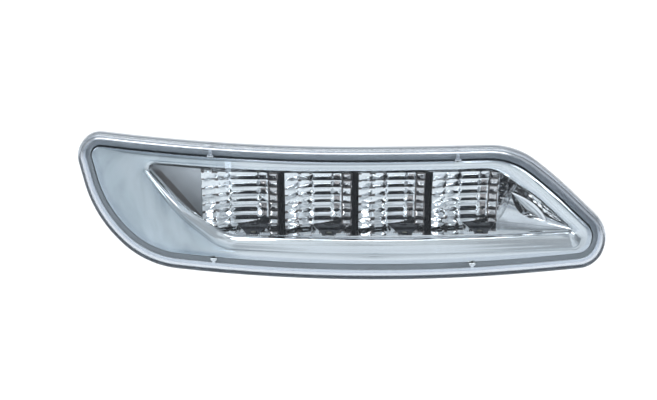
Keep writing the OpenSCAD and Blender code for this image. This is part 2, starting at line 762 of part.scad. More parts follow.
// Power of the sweep that clears the floor of the tub where the deep middle ends
cheek_sweep = ln((cheek_deep - (tub_floor - cheek_room - cheek_t)) / (cheek_deep - cheek_tip_d))
  / ln((deep_right - cheek_x0) / (cheek_end - cheek_x0));
function cheek_at(u, w) =
  let (x = cheek_x0 + (cheek_end - cheek_x0) * u, near = bowed(x, lip_back + 0.6),
       far = cheek_deep + (cheek_tip_d - cheek_deep) * pow(u, cheek_sweep),
       z0 = shelf_z + nest_gap, z1 = max(diag_z(x), z0 + 1))
  [x, crown_y + far + (min(near, far - 0.1) - far) * w * w, z0 + (z1 - z0) * w];

// Curved wall that sweeps from the reflector to the right tip of the opening, with its leaf-shaped fin
module cheek_right() {
  nu = cheek_u + 1;
  nw = cheek_w + 1;
  front = [for (i = [0:cheek_u], j = [0:cheek_w]) cheek_at(i / cheek_u, j / cheek_w)];
  points = concat(front, [for (p = front) p + [0.8, cheek_t, 0]]);
  b = nu * nw;
  faces = concat(
    [for (i = [0:cheek_u - 1], j = [0:cheek_w - 1]) let (a = i * nw + j)
      each [[a, a + 1, a + nw + 1], [a, a + nw + 1, a + nw]]],
    [for (i = [0:cheek_u - 1], j = [0:cheek_w - 1]) let (a = b + i * nw + j)
      each [[a, a + nw + 1, a + 1], [a, a + nw, a + nw + 1]]],
    [for (i = [0:cheek_u - 1]) let (a = i * nw) each [[a, a + nw, a + b + nw], [a, a + b + nw, a + b]]],
    [for (i = [0:cheek_u - 1])
      let (a = i * nw + cheek_w) each [[a, a + b + nw, a + nw], [a, a + b, a + b + nw]]],
    [for (j = [0:cheek_w - 1]) each [[j, j + b + 1, j + 1], [j, j + b, j + b + 1]]],
    [for (j = [0:cheek_w - 1])
      let (a = cheek_u * nw + j) each [[a, a + 1, a + b + 1], [a, a + b + 1, a + b]]]);
  color([0.84, 0.86, 0.88]) {
    polyhedron(points, faces, convexity = 6);
    fin();
  }
}

fin_n = 8;
module fin() {
  function fin_mid(s) = [0.16 + 0.5 * s, 0.56 - 0.4 * s];
  function fin_point(s, side, lift) =
    let (m = fin_mid(s), h = 0.17 * sin(180 * s))
    cheek_at(m[0] + side * h * 0.5, m[1] + side * h) - [0, lift, 0];
  mids = [for (k = [1:fin_n - 1]) k / fin_n];
  points = concat(
    [fin_point(0, 0, 0.2)],
    [for (s = mids) each [
      fin_point(s, -1, 0.2), fin_point(s, 0, 0.4 + 1.4 * sin(180 * s)),
      fin_point(s, 1, 0.2), fin_point(s, 0, -0.5)]],
    [fin_point(1, 0, 0.2)]);
  last = len(points) - 1;
  faces = concat(
    [for (k = [0:3]) [0, 1 + (k + 1) % 4, 1 + k]],
    [for (i = [0:fin_n - 3], k = [0:3]) let (a = 1 + 4 * i + k, c = 1 + 4 * i + (k + 1) % 4)
      each [[a, c, c + 4], [a, c + 4, a + 4]]],
    [for (k = [0:3]) [last, last - 4 + k, last - 4 + (k + 1) % 4]]);
  polyhedron(points, faces, convexity = 4);
}

module circuit_board() {
  left = ref_x0 + 2;
  right = max(ref_x1 + 0.2, led_x(led_n - 1) + led_side / 2 + board_rim);
  near = led_d - 4.7;
  color([0.06, 0.07, 0.08])
    difference() {
      translate([left, crown_y + near, board_bot])
        cube([right - left, board_rear - near, board_t]);
      for (x = board_screw_x)
        translate([x, crown_y + board_screw_d, board_bot - 1])
          cylinder(r = screw_r + 0.2, h = board_t + 2, $fn = 32);
    }
}

module led(c) {
  y = crown_y + led_d + bowed(led_x(c), 0);
  color([0.9, 0.88, 0.8]) {
    translate([led_x(c) - led_side / 2, y - led_side / 2, board_top])
      cube([led_side, led_side, 0.8]);
    translate([led_x(c), y, board_top + 0.7])
      cylinder(r = led_side * 0.4, h = 0.5, $fn = 32);
  }
}

module led_1() {
  led(0);
}

module led_2() {
  led(1);
}

module led_3() {
  led(2);
}

module led_4() {
  led(3);
}

// A small block soldered to the underside of the board
module under_board(x, d, w, l, h) {
  translate([x - w / 2, crown_y + d - l / 2, board_bot - h])
    cube([w, l, h]);
}

module regulator() {
  color([0.08, 0.08, 0.09]) under_board(-6, driver_d, 6.6, 6.2, 2.3);
}

module diode() {
  color([0.1, 0.1, 0.1]) under_board(8, driver_d, 4.6, 2.7, 2.1);
}

module resistor_left() {
  color([0.12, 0.12, 0.12]) under_board(-44, driver_d, 6.3, 3.2, 0.7);
}

module resistor_right() {
  color([0.12, 0.12, 0.12]) under_board(36, driver_d, 6.3, 3.2, 0.7);
}

module capacitor() {
  color([0.7, 0.71, 0.73])
    translate([26, crown_y + driver_d - 3, board_bot - can_h])
      cylinder(d = can_d, h = can_h, $fn = 48);
}

module board_screw(x) {
  color([0.6, 0.61, 0.62])
    translate([x, crown_y + board_screw_d, 0]) {
      translate([0, 0, board_bot - 1.5])
        cylinder(r = head_r, h = 1.5 - nest_gap, $fn = 32);
      translate([0, 0, board_bot - 0.5])
        cylinder(r = screw_r, h = shelf_z - 0.5 - board_bot + 0.5, $fn = 32);
    }
}

module board_screw_left() {
  board_screw(board_screw_x[0]);
}

module board_screw_right() {
  board_screw(board_screw_x[1]);
}

module trim_screw(e) {
  color([0.6, 0.61, 0.62]) {
    y_cylinder(e[0], e[1], ear_d - 1.6, ear_d - nest_gap, head_r, 32);
    y_cylinder(e[0], e[1], ear_d - 0.5, tub_d - 1.5, screw_r, 32);
  }
}

module trim_screw_left() {
  trim_screw(ear_at[0]);
}

module trim_screw_right() {
  trim_screw(ear_at[1]);
}

outer_lens();
lens_seal();
housing();
bezel();
clip_top_left();
clip_top_right();
clip_bottom_left();
clip_bottom_right();
reflector();
reflector_shelf();
cheek_left();
cheek_right();
circuit_board();
led_1();
led_2();
led_3();
led_4();
regulator();
diode();
resistor_left();
resistor_right();
capacitor();
board_screw_left();
board_screw_right();
trim_screw_left();
trim_screw_right();
stud_left();
stud_right();
terminal_left();
terminal_right();
lead_left();
lead_right();
vent_cap();
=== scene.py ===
"""Looks of a chromed four-light clearance lamp, built round its fixed construction model."""
import logging
import math
from collections.abc import Callable, Iterable, Sequence
from dataclasses import dataclass, field
from enum import Enum

import bmesh
import bpy
import numpy as np
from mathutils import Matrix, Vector
from mathutils.geometry import delaunay_2d_cdt


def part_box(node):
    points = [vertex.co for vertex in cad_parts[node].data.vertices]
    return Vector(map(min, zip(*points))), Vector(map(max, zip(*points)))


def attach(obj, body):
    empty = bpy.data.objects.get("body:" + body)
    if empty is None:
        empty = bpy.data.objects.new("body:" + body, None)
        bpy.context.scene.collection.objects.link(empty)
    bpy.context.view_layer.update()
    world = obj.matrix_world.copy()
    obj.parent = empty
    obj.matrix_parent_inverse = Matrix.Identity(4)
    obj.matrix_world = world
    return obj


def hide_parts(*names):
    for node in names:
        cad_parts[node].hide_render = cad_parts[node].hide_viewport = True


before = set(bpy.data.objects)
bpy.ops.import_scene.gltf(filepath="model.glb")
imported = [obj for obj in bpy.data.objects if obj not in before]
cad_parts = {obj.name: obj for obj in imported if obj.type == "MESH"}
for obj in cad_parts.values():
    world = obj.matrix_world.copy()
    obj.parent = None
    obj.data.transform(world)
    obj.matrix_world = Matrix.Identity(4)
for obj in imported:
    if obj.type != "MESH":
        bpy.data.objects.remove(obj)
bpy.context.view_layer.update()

MM = 0.001
BODY = "root"
FULL_TURN = 2 * math.pi
QUARTER_TURN = math.pi / 2
# How far a solid with a hollow round at its foot, a plain one and a bore reach into the wall.
SUNK, BITE, THROUGH = 1.05, 1.0, 4.0
log = logging.getLogger("clearance_lamp")
Points = np.ndarray
Colour = tuple[float, float, float]
Pair = tuple[float, float]
Outliner = Callable[[float], np.ndarray]


class Slot(Enum):
    """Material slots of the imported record."""

    LENS = "lens"
    SEAL = "seal"
    HOUSING = "housing"
    CHROME = "chrome"
    REFLECTOR = "reflector"
    BOARD = "board"
    LED = "led"
    CHIP = "chip"
    CAN = "can"
    SCREW = "screw"
    STUD = "stud"
    TERMINAL = "terminal"
    WIRE_BLACK = "wire_black"
    WIRE_RED = "wire_red"
    VENT = "vent"


class Axis(Enum):
    """Direction that a flat outline is placed along; the value is its column in a point."""

    DEPTH = 1
    HEIGHT = 2

    def place(self, flat: Points, level: float) -> Points:
        """Put flat points at a level on the axis."""
        return np.insert(np.asarray(flat, float), self.value, level, axis=-1)


class Join(Enum):
    """How one solid is combined with another."""

    ADD = "UNION"
    CUT = "DIFFERENCE"


class Edge(Enum):
    """Edge of the bezel that a clip sits on; the value is its direction up or down."""

    TOP = 1
    BOTTOM = -1


class Sum(Enum):
    """Sums that a shading node works out."""

    TIMES = "MULTIPLY"
    MINUS = "SUBTRACT"
    LARGER = "MAXIMUM"
    ABOVE = "GREATER_THAN"
    BELOW = "LESS_THAN"
    FRACTION = "FRACT"
    SIZE = "ABSOLUTE"


class Strip(Enum):
    """Upright strips of a reflector cell from left to right, then the groove after it."""

    WIDE_OUTER = "wide pillows on the outside"
    WIDE_INNER = "wide pillows on the inside"
    FLUTES = "flutes"
    NARROW_INNER = "narrow pillows on the inside"
    NARROW_OUTER = "narrow pillows on the outside"
    GROOVE_START = "first wall of the groove"
    GROOVE_FLOOR = "floor of the groove"
    GROOVE_END = "second wall of the groove"

    @property
    def is_groove(self) -> bool:
        """Whether the strip belongs to a groove."""
        return self in (Strip.GROOVE_START, Strip.GROOVE_FLOOR, Strip.GROOVE_END)


def unit(v: Points) -> Points:
    """Give a vector at length one."""
    return v / np.linalg.norm(v)


def smooth(t: Points | float) -> Points | float:
    """Ease a share from 0 to 1 with level ends."""
    s = np.clip(t, 0, 1)
    return s * s * (3 - 2 * s)


def rounded(a: Points, b: Points, c: Points, t: float) -> Points:
    """Point at a share of the way from a to c on a curve that bends towards b."""
    return (1 - t) ** 2 * a + 2 * t * (1 - t) * b + t * t * c


def shade(colour: Colour, share: float) -> Colour:
    """Darken a colour to a share of itself."""
    return tuple(c * share for c in colour)


def lamp_box(node: str) -> tuple[Points, Points]:
    """Lowest and highest corner of a construction node in millimetres."""
    lo, hi = (np.array(v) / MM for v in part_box(node))
    return lo, hi


@dataclass(frozen=True)
class Bow:
    """The cylinder about an upright axis that the whole front of the lamp follows."""

    radius: float = 650.0
    crown_y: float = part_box("outer_lens")[0].y / MM

    def depth(self, x: Points | float, setback: Points | float) -> Points | float:
        """Depth behind the crown at x, for a surface set back along the bow."""
        return self.radius - np.sqrt((self.radius - setback) ** 2 - np.square(x))

    def place(self, xz: Points, setback: Points | float) -> Points:
        """Put flat points on the bow.

        Args:
            xz: Points seen from the front, one row each.
            setback: Distance behind the front surface.

        Returns:
            The points in the lamp's frame.
        """
        y = self.crown_y + self.depth(xz[..., 0], setback)
        return np.stack([xz[..., 0], y, xz[..., 1]], axis=-1)

    def flat(self, xz: Points, depth: float) -> Points:
        """Put flat points on an upright plane at one depth."""
        return Axis.DEPTH.place(xz, self.crown_y + depth)


@dataclass(frozen=True)
class Pace:
    """Steps on each corner and each straight, shared by outlines that are lofted together."""

    arcs: tuple[int, ...]
    straights: tuple[int, ...]


@dataclass(frozen=True)
class Outline:
    """A closed outline of rounded corners, clockwise from the top left as seen from the front.

    Each corner is x, z and radius in millimetres.
    """

    corners: tuple[tuple[float, float, float], ...]

    def _near(self, i: int) -> tuple[Points, Points, Points]:
        """Place of the corner before corner i, of corner i and of the one after."""
        n = len(self.corners)
        return tuple(np.array(self.corners[(i + k) % n][:2]) for k in (-1, 0, 1))

    def _arc(self, i: int, out: float, steps: int) -> Points:
        """Walk round one corner.

        Args:
            i: Number of the corner.
            out: How far the outline is moved out.
            steps: Steps on the corner.

        Returns:
            The corner's points.
        """
        p0, p1, p2 = self._near(i)
        radius = self.corners[i][2]
        a, b = unit(p0 - p1), unit(p2 - p1)
        half = math.acos(float(np.clip(a @ b, -1, 1))) / 2
        centre = p1 + unit(a + b) * (radius / math.sin(half))
        start = p1 + a * (radius / math.tan(half)) - centre
        edge_in, edge_out = p1 - p0, p2 - p1
        side = -1 if edge_in[0] * edge_out[1] - edge_in[1] * edge_out[0] < 0 else 1
        first = math.atan2(start[1], start[0])
        angles = first + side * (math.pi - 2 * half) * np.linspace(0, 1, steps + 1)
        return centre + (radius - side * out) * np.stack([np.cos(angles), np.sin(angles)], axis=-1)

    def pace(self, edge_step: float, corner_steps: int) -> Pace:
        """Choose the steps of every stretch.

        Args:
            edge_step: Longest step along the outline.
            corner_steps: Fewest steps on a corner.

        Returns:
            The counts for each corner and straight.
        """
        n = len(self.corners)
        arcs = []
        for i, (_, _, radius) in enumerate(self.corners):
            p0, p1, p2 = self._near(i)
            turn = math.acos(float(np.clip(unit(p1 - p0) @ unit(p2 - p1), -1, 1)))
            arcs.append(max(corner_steps, math.ceil(radius * turn / edge_step)))
        chains = [self._arc(i, 0, arcs[i]) for i in range(n)]
        gaps = [np.linalg.norm(chains[(i + 1) % n][0] - chains[i][-1]) for i in range(n)]
        return Pace(tuple(arcs), tuple(max(1, math.ceil(g / edge_step)) for g in gaps))

    def ring(self, out: float, pace: Pace) -> Points:
        """Walk round the outline.

        Args:
            out: How far the outline is moved out, negative for in.
            pace: Steps of every stretch.

        Returns:
            The points, seen from the front.
        """
        n = len(self.corners)
        chains = [self._arc(i, out, pace.arcs[i]) for i in range(n)]
        walk: list[Points] = []
        for i, chain in enumerate(chains):
            nxt, m = chains[(i + 1) % n][0], pace.straights[i]
            shares = np.arange(1, m)[:, None] / m
            walk += [chain, chain[-1] + (nxt - chain[-1]) * shares]
        return np.concatenate(walk)


LENS_OUTLINE = Outline((
    (-128.9, 31.8, 11), (-46, 25.5, 1500), (83, 25.6, 38), (104, 8.2, 200), (128.7, -16.4, 15),
    (123.7, -34.8, 13), (7, -40.1, 1300), (-94, -32.4, 44), (-118.5, -9, 60),
))
CREASE_OUTLINE = Outline((
    (-98, 19, 4), (-45, 16.4, 1400), (79.5, 17, 24), (97, 0.8, 120), (116.5, -18.8, 5),
    (113.6, -25.8, 4.5), (12, -26.2, 1800), (-58, -24, 22), (-79, -7, 70),
))
LEAF_OUTLINE = Outline((
    (-93.5, 15.8, 2.2), (-45, 12.4, 1000), (74.5, 13.2, 22), (91.5, 0, 80), (111, -18.2, 1.2),
    (109.4, -19.6, 1.2), (15, -20.2, 1800), (-55, -18.9, 20), (-75, -5, 70),
))
BOW = Bow()
FINE = LENS_OUTLINE.pace(edge_step=2.2, corner_steps=14)


def rounded_box(width: float, height: float, radius: float, steps: int = 8) -> Points:
    """Outline of a box with round corners, about the origin.

    Args:
        width: Width across.
        height: Height.
        radius: Corner radius.
        steps: Steps on each corner.

    Returns:
        The points, clockwise.
    """
    corners = []
    sides = ((-1, 1), (1, 1), (1, -1), (-1, -1))
    for (sx, sz), turn in zip(sides, (math.pi, QUARTER_TURN, 0, -QUARTER_TURN)):
        angles = turn - np.linspace(0, QUARTER_TURN, steps + 1)
        centre = np.array([sx * (width / 2 - radius), sz * (height / 2 - radius)])
        corners.append(centre + radius * np.stack([np.cos(angles), np.sin(angles)], axis=-1))
    return np.concatenate(corners)


def turned(centre: Sequence[float], profile: Sequence[Pair], sides: int, axis: Axis,
           ripple: Callable[[Points, float, float], Points] | None = None) -> Points:
    """Turn a profile round an axis.

    Args:
        centre: The axis in the plane across it.
        profile: Radius and level on the axis, in order.
        sides: Steps round.
        axis: Direction of the axis.
        ripple: Change of radius for the angles, the radius and the level.

    Returns:
        One row of points for each step of the profile.
    """
    angles = np.linspace(0, FULL_TURN, sides, endpoint=False)
    rows = []
    for radius, level in profile:
        r = radius + (ripple(angles, radius, level) if ripple else 0.0)
        circle = np.stack([centre[0] + r * np.cos(angles), centre[1] + r * np.sin(angles)], axis=-1)
        rows.append(axis.place(circle, level))
    return np.stack(rows)


def inside(points: Points, ring: Points) -> Points:
    """Tell which flat points lie inside a closed ring.

    Args:
        points: The points.
        ring: The ring's points in order.

    Returns:
        True for each point inside.
    """
    x, z = points[:, :1], points[:, 1:2]
    a, b = ring, np.roll(ring, -1, axis=0)
    spans = (a[:, 1] > z) != (b[:, 1] > z)
    rise = np.where(b[:, 1] == a[:, 1], 1.0, b[:, 1] - a[:, 1])
    at = a[:, 0] + (z - a[:, 1]) * (b[:, 0] - a[:, 0]) / rise
    return (np.sum(spans & (x < at), axis=1) % 2).astype(bool)


def fill(ring: Points, spacing: float) -> tuple[Points, list[tuple[int, ...]]]:
    """Fill a flat ring with an even net of triangles.

    Args:
        ring: The closed outline.
        spacing: Distance between the points of the net.

    Returns:
        The points, the ring's first, and the triangles.
    """
    clearance, same_point, least_area = spacing * 0.45, 1e-6, 1e-3
    lo, hi = ring.min(axis=0), ring.max(axis=0)
    xs, zs = (np.arange(lo[k] + spacing / 2, hi[k], spacing) for k in (0, 1))
    net = np.stack(np.meshgrid(xs, zs), axis=-1).reshape(-1, 2)
    net = net[inside(net, ring)]
    near = np.min(np.linalg.norm(net[:, None] - ring[None, :], axis=2), axis=1)
    points = np.concatenate([ring, net[near > clearance]])
    n = len(ring)
    edges = [(i, (i + 1) % n) for i in range(n)]
    verts, _, faces, *_ = delaunay_2d_cdt([Vector(p) for p in points], edges, [], 0, same_point)
    flat = np.array([tuple(v) for v in verts])
    corners = np.array([flat[list(f)] for f in faces])
    a, b = corners[:, 1] - corners[:, 0], corners[:, 2] - corners[:, 0]
    wide = np.abs(a[:, 0] * b[:, 1] - a[:, 1] * b[:, 0]) > least_area
    good = wide & inside(corners.mean(axis=1), ring)
    return flat, [tuple(f) for f, ok in zip(faces, good) if ok]


@dataclass
class Blank:
    """Points and faces of one piece in millimetres, gathered before its mesh is made."""

    points: list[Points] = field(default_factory=list)
    faces: list[tuple[int, ...]] = field(default_factory=list)
    tones: list[Points] = field(default_factory=list)
    count: int = 0
    weld_mm: float = 0.002
    sliver_mm: float = 0.001
    bevel_steps: int = 3

    def add(self, points: Points, tone: Points | float = 0.0) -> int:
        """Add loose points.

        Args:
            points: The points, in rows of any number.
            tone: Tone of every point, or one for all.

        Returns:
            Number of the first point.
        """
        first = self.count
        self.points.append(points.reshape(-1, 3))
        self.tones.append(np.broadcast_to(np.asarray(tone, float), points.shape[:-1]).reshape(-1))
        self.count += points.reshape(-1, 3).shape[0]
        return first

    def sheet(self, grid: Points, wrap: bool = False, tone: Points | float = 0.0) -> None:
        """Add a sheet of four-sided faces.

        Args:
            grid: Points in rows and columns.
            wrap: Whether each row closes on itself.
            tone: Tone of every point, or one for all.
        """
        first = self.add(grid, tone)
        rows, cols = grid.shape[:2]
        last = cols if wrap else cols - 1
        for r in range(rows - 1):
            a = first + r * cols
            for c in range(last):
                d = (c + 1) % cols
                self.faces.append((a + c, a + d, a + cols + d, a + cols + c))

    def slab(self, front: Points, back: Points, tone: Points | float = 0.0) -> None:
        """Add a closed solid between two sheets.

        Args:
            front: Grid of the front.
            back: Grid of the back, of the same size.
            tone: Tone of the front.
        """
        self.sheet(front, tone=tone)
        self.sheet(back)
        for edge in ((0,), (-1,), (slice(None), 0), (slice(None), -1)):
            self.sheet(np.stack([front[edge], back[edge]]))

    def cap(self, ring: Points, place: Callable[[Points], Points], spacing: float) -> None:
        """Close a ring with a net of triangles laid on a surface.

        Args:
            ring: The ring, seen from the front.
            place: Puts flat points on the surface.
            spacing: Distance between the net's points.
        """
        flat, faces = fill(ring, spacing)
        first = self.add(place(flat))
        self.faces += [tuple(first + i for i in f) for f in faces]

    def lid(self, ring: Points, tone: float = 0.0) -> None:
        """Close a flat ring with one face."""
        first = self.add(ring, tone)
        self.faces.append(tuple(range(first, first + len(ring))))

    def tube(self, rings: Sequence[Points], tone: float = 0.0) -> None:
        """Add a closed solid through rings, with a flat lid on both ends."""
        self.sheet(np.stack(rings), wrap=True, tone=tone)
        self.lid(rings[0], tone)
        self.lid(rings[-1], tone)

    def prism(self, outline: Points, span: Pair, axis: Axis) -> None:
        """Push a flat outline out from one level on an axis to another."""
        self.tube([axis.place(outline, level) for level in span])

    def piece(self, name: str, sharp: float = 32.0, bevel: float = 0.0) -> bpy.types.Object:
        """Make the mesh and its object.

        Args:
            name: Name of the piece.
            sharp: Angle in degrees above which an edge stays crisp.
            bevel: Width of the round on every crisp edge, none at 0.

        Returns:
            The new object, linked to the scene.
        """
        points = np.concatenate(self.points) * MM
        mesh = bpy.data.meshes.new(name)
        mesh.from_pydata(points.tolist(), [], self.faces)
        tone = mesh.attributes.new("tone", "FLOAT", "POINT")
        tone.data.foreach_set("value", np.concatenate(self.tones).astype(np.float32))
        shape = bmesh.new()
        shape.from_mesh(mesh)
        bmesh.ops.remove_doubles(shape, verts=shape.verts, dist=self.weld_mm * MM)
        bmesh.ops.dissolve_degenerate(shape, edges=shape.edges, dist=self.sliver_mm * MM)
        bmesh.ops.recalc_face_normals(shape, faces=shape.faces)
        if bevel:
            crisp = [e for e in shape.edges if len(e.link_faces) == 2
                     and e.calc_face_angle() > math.radians(sharp)]
            bmesh.ops.bevel(shape, geom=crisp, offset=bevel * MM, segments=self.bevel_steps,
                            profile=0.5, affect="EDGES", clamp_overlap=True)
        shape.to_mesh(mesh)
        shape.free()
        mesh.shade_smooth()
        mesh.set_sharp_from_angle(angle=math.radians(sharp))
        obj = bpy.data.objects.new(name, mesh)
        bpy.context.scene.collection.objects.link(obj)
        return obj


def combine(base: bpy.types.Object, tools: Iterable[tuple[Join, bpy.types.Object]]) -> None:
    """Join solids to a piece or cut them from it, one after the other.

    Args:
        base: The piece that keeps the result.
        tools: How each solid is combined, and the solid, which is used up.
    """
    for join, tool in tools:
        step = base.modifiers.new("combine", "BOOLEAN")
        step.operation = join.value
        step.solver = "MANIFOLD"
        step.object = tool
        depsgraph = bpy.context.evaluated_depsgraph_get()
        made = bpy.data.meshes.new_from_object(base.evaluated_get(depsgraph))
        base.modifiers.clear()
        base.data = made
        bpy.data.objects.remove(tool)


Socket = bpy.types.NodeSocket
# A whole share, and the stretches of noise that are spread over one.
SHARE: Pair = (0.0, 1.0)
MIDDLE: Pair = (0.3, 0.7)
UPPER: Pair = (0.35, 0.7)
HIGH: Pair = (0.35, 0.75)


class Nodes:
    """A tree of shading nodes, with the coordinates that its patterns follow."""

    def __init__(self, tree: bpy.types.NodeTree, coordinates: str) -> None:
        """Start on a tree, with Blender's name of the coordinates."""
        self.tree = tree
        self.where = self.add("ShaderNodeTexCoord", {}).outputs[coordinates]

    def add(self, kind: str, inputs: dict[str | int, object], **options: object) -> bpy.types.Node:
        """Add a node.

        Args:
            kind: Blender's name of the node.
            inputs: What each input is linked or set to.
            **options: The node's own settings.

        Returns:
            The node.
        """
        node = self.tree.nodes.new(kind)
        for key, value in options.items():
            setattr(node, key, value)
        for key, value in inputs.items():
            if isinstance(value, Socket):
                self.tree.links.new(value, node.inputs[key])
            else:
                node.inputs[key].default_value = value
        return node

    def noise(self, scale: float, detail: float = 3.0, where: Socket | None = None,
              swirl: float = 0.0) -> Socket:
        """Soft noise, with scale in grains per metre."""
        inputs = {"Vector": where or self.where, "Scale": scale, "Detail": detail,
                  "Distortion": swirl}
        return self.add("ShaderNodeTexNoise", inputs).outputs[0]

    def sums(self, operation: Sum, a: object, b: object = 0.0) -> Socket:
        """Work out one sum."""
        return self.add("ShaderNodeMath", {0: a, 1: b}, operation=operation.value).outputs[0]

    def span(self, value: Socket, source: Pair, target: Pair = SHARE) -> Socket:
        """Map a value from one range to another, held at the ends."""
        inputs = {"Value": value, "From Min": source[0], "From Max": source[1],
                  "To Min": target[0], "To Max": target[1]}
        return self.add("ShaderNodeMapRange", inputs).outputs[0]

    def blend(self, factor: Socket, a: Socket | Colour, b: Socket | Colour) -> Socket:
        """Mix two colours."""
        a, b = (c if isinstance(c, Socket) else (*c, 1.0) for c in (a, b))
        return self.add("ShaderNodeMix", {0: factor, 6: a, 7: b}, data_type="RGBA").outputs[2]


class Board(Nodes):
    """The nodes of one material, laid out from a plain shader."""

    def __init__(self, name: str) -> None:
        """Start a material.

        Args:
            name: Name of the material.
        """
        self.material = bpy.data.materials.new(name)
        self.material.use_nodes = True
        super().__init__(self.material.node_tree, "Object")
        self.shader = self.tree.nodes["Principled BSDF"]

    def set(self, **values: object) -> None:
        """Set the shader's own sockets, with underscores for spaces."""
        for key, value in values.items():
            self.shader.inputs[key.replace("_", " ")].default_value = value

    def feed(self, socket: str, source: Socket) -> None:
        """Link a source to a socket of the shader."""
        self.tree.links.new(source, self.shader.inputs[socket])

    def stretched(self, scale: tuple[float, float, float]) -> Socket:
        """Give the object's coordinates stretched along each axis."""
        return self.add("ShaderNodeMapping", {"Vector": self.where, "Scale": scale}).outputs[0]

    def along(self) -> Socket:
        """Place along the lamp, in metres."""
        return self.add("ShaderNodeSeparateXYZ", {0: self.where}).outputs["X"]

    def tone(self) -> Socket:
        """The tone that the mesh carries."""
        return self.add("ShaderNodeAttribute", {}, attribute_name="tone").outputs["Fac"]

    def bump(self, height: Socket, depth_mm: float) -> None:
        """Raise the surface by a height of so many millimetres."""
        inputs = {"Height": height, "Distance": depth_mm * MM}
        self.feed("Normal", self.add("ShaderNodeBump", inputs).outputs[0])


class Finish:
    """What every finish gives: one material, made once."""

    def material(self) -> bpy.types.Material:
        """Make the material, once for equal finishes.

        Returns:
            The material.
        """
        if self not in FINISHES:
            board = Board(f"{type(self).__name__}_{len(FINISHES) + 1}")
            self.lay(board)
            FINISHES[self] = board.material
        return FINISHES[self]

    def lay(self, board: Board) -> None:
        """Lay the finish's nodes.

        Args:
            board: Where they are laid.
        """
        raise NotImplementedError


FINISHES: dict[Finish, bpy.types.Material] = {}


@dataclass(frozen=True)
class ClearAcrylic(Finish):
    """Clear moulded plastic of the lens; a tone of one is its thick edge, which is greyer."""

    tint: Colour = (0.93, 0.965, 0.985)
    edge: Colour = (0.72, 0.77, 0.83)
    gloss: Colour = (0.42, 0.45, 0.48)
    haze: Pair = (0.0, 0.03)
    edge_roughness: float = 0.13
    index: float = 1.49
    flow_mm: float = 0.004

    def lay(self, board: Board) -> None:
        """Lay the finish's nodes.

        Args:
            board: Where they are laid.
        """
        board.set(IOR=self.index, Specular_Tint=(*self.gloss, 1), Transmission_Weight=1.0)
        board.feed("Base Color", board.blend(board.tone(), self.tint, self.edge))
        haze = board.span(board.noise(scale=60, detail=2), HIGH, self.haze)
        soft = board.sums(Sum.TIMES, board.tone(), self.edge_roughness)
        board.feed("Roughness", board.sums(Sum.LARGER, haze, soft))
        board.bump(board.noise(scale=35, detail=1), self.flow_mm)


@dataclass(frozen=True)
class BezelChrome(Finish):
    """Bright plating on the bezel; a tone of one is its wide end, which is milky."""

    bright: Colour = (0.79, 0.81, 0.825)
    cloud: Colour = (0.38, 0.44, 0.48)
    veil: Colour = (0.62, 0.68, 0.72)
    clear_roughness: Pair = (0.03, 0.08)
    milk_roughness: float = 0.26
    milk_clearing: float = 0.7
    wave_mm: float = 0.012

    def lay(self, board: Board) -> None:
        """Lay the finish's nodes.

        Args:
            board: Where they are laid.
        """
        board.set(Metallic=1.0)
        milk = board.tone()
        tall = board.stretched((1.0, 1.0, 0.55))
        drift = board.noise(scale=24, detail=5, where=tall, swirl=2.2)
        clouded = board.blend(board.span(drift, (0.3, 0.62)), self.cloud, self.veil)
        board.feed("Base Color", board.blend(milk, self.bright, clouded))
        least = self.milk_roughness * self.milk_clearing
        rough = board.span(drift, MIDDLE, (least, self.milk_roughness))
        clear = board.span(board.noise(scale=90, detail=2), MIDDLE, self.clear_roughness)
        board.feed("Roughness", board.sums(Sum.LARGER, board.sums(Sum.TIMES, milk, rough), clear))
        board.bump(board.noise(scale=55, detail=2), self.wave_mm)


@dataclass(frozen=True)
class ReflectorPlateAndPaintedShade(Finish):
    """Vacuum plating on the reflector, with painted light on it: painted brown reflection at a tone
    of a half, painted black shade at one.
    """

    bright: Colour = (0.93, 0.94, 0.95)
    # Colour of the painted brown reflection.
    painted_reflection_brown: Colour = (0.42, 0.385, 0.375)
    # Colour of the painted black shade.
    painted_shade: Colour = (0.006, 0.007, 0.009)
    tarnish: float = 0.91
    haze: float = 0.0
    haze_roughness: float = 0.3
    clean_roughness: Pair = (0.03, 0.09)
    painted_shade_roughness: float = 0.4
    wave_mm: float = 0.01

    def lay(self, board: Board) -> None:
        """Lay the finish's nodes.

        Args:
            board: Where they are laid.
        """
        tone = board.tone()
        tarnish = board.span(board.noise(scale=160, detail=3), UPPER)
        plate = board.blend(tarnish, self.bright, shade(self.bright, self.tarnish))
        # Painted brown reflection: a tone of up to a half mixes the plating towards brown.
        plate = board.blend(board.span(tone, (0.0, 0.5)), plate, self.painted_reflection_brown)
        # Painted shade: a tone from 0.6 to 0.9 turns the plating black, dull and not metal.
        painted_shade = board.span(tone, (0.6, 0.9))
        board.feed("Base Color", board.blend(painted_shade, plate, self.painted_shade))
        board.feed("Metallic", board.span(painted_shade, SHARE, (1.0 - self.haze, 0.0)))
        board.set(Specular_IOR_Level=0.25)
        soft = tuple(r + self.haze * self.haze_roughness for r in self.clean_roughness)
        smear = board.span(board.noise(scale=220, detail=2), (0.3, 0.75), soft)
        rough = board.span(painted_shade, SHARE, (0.0, self.painted_shade_roughness))
        board.feed("Roughness", board.sums(Sum.LARGER, smear, rough))
        board.bump(board.noise(scale=240, detail=2), self.wave_mm)


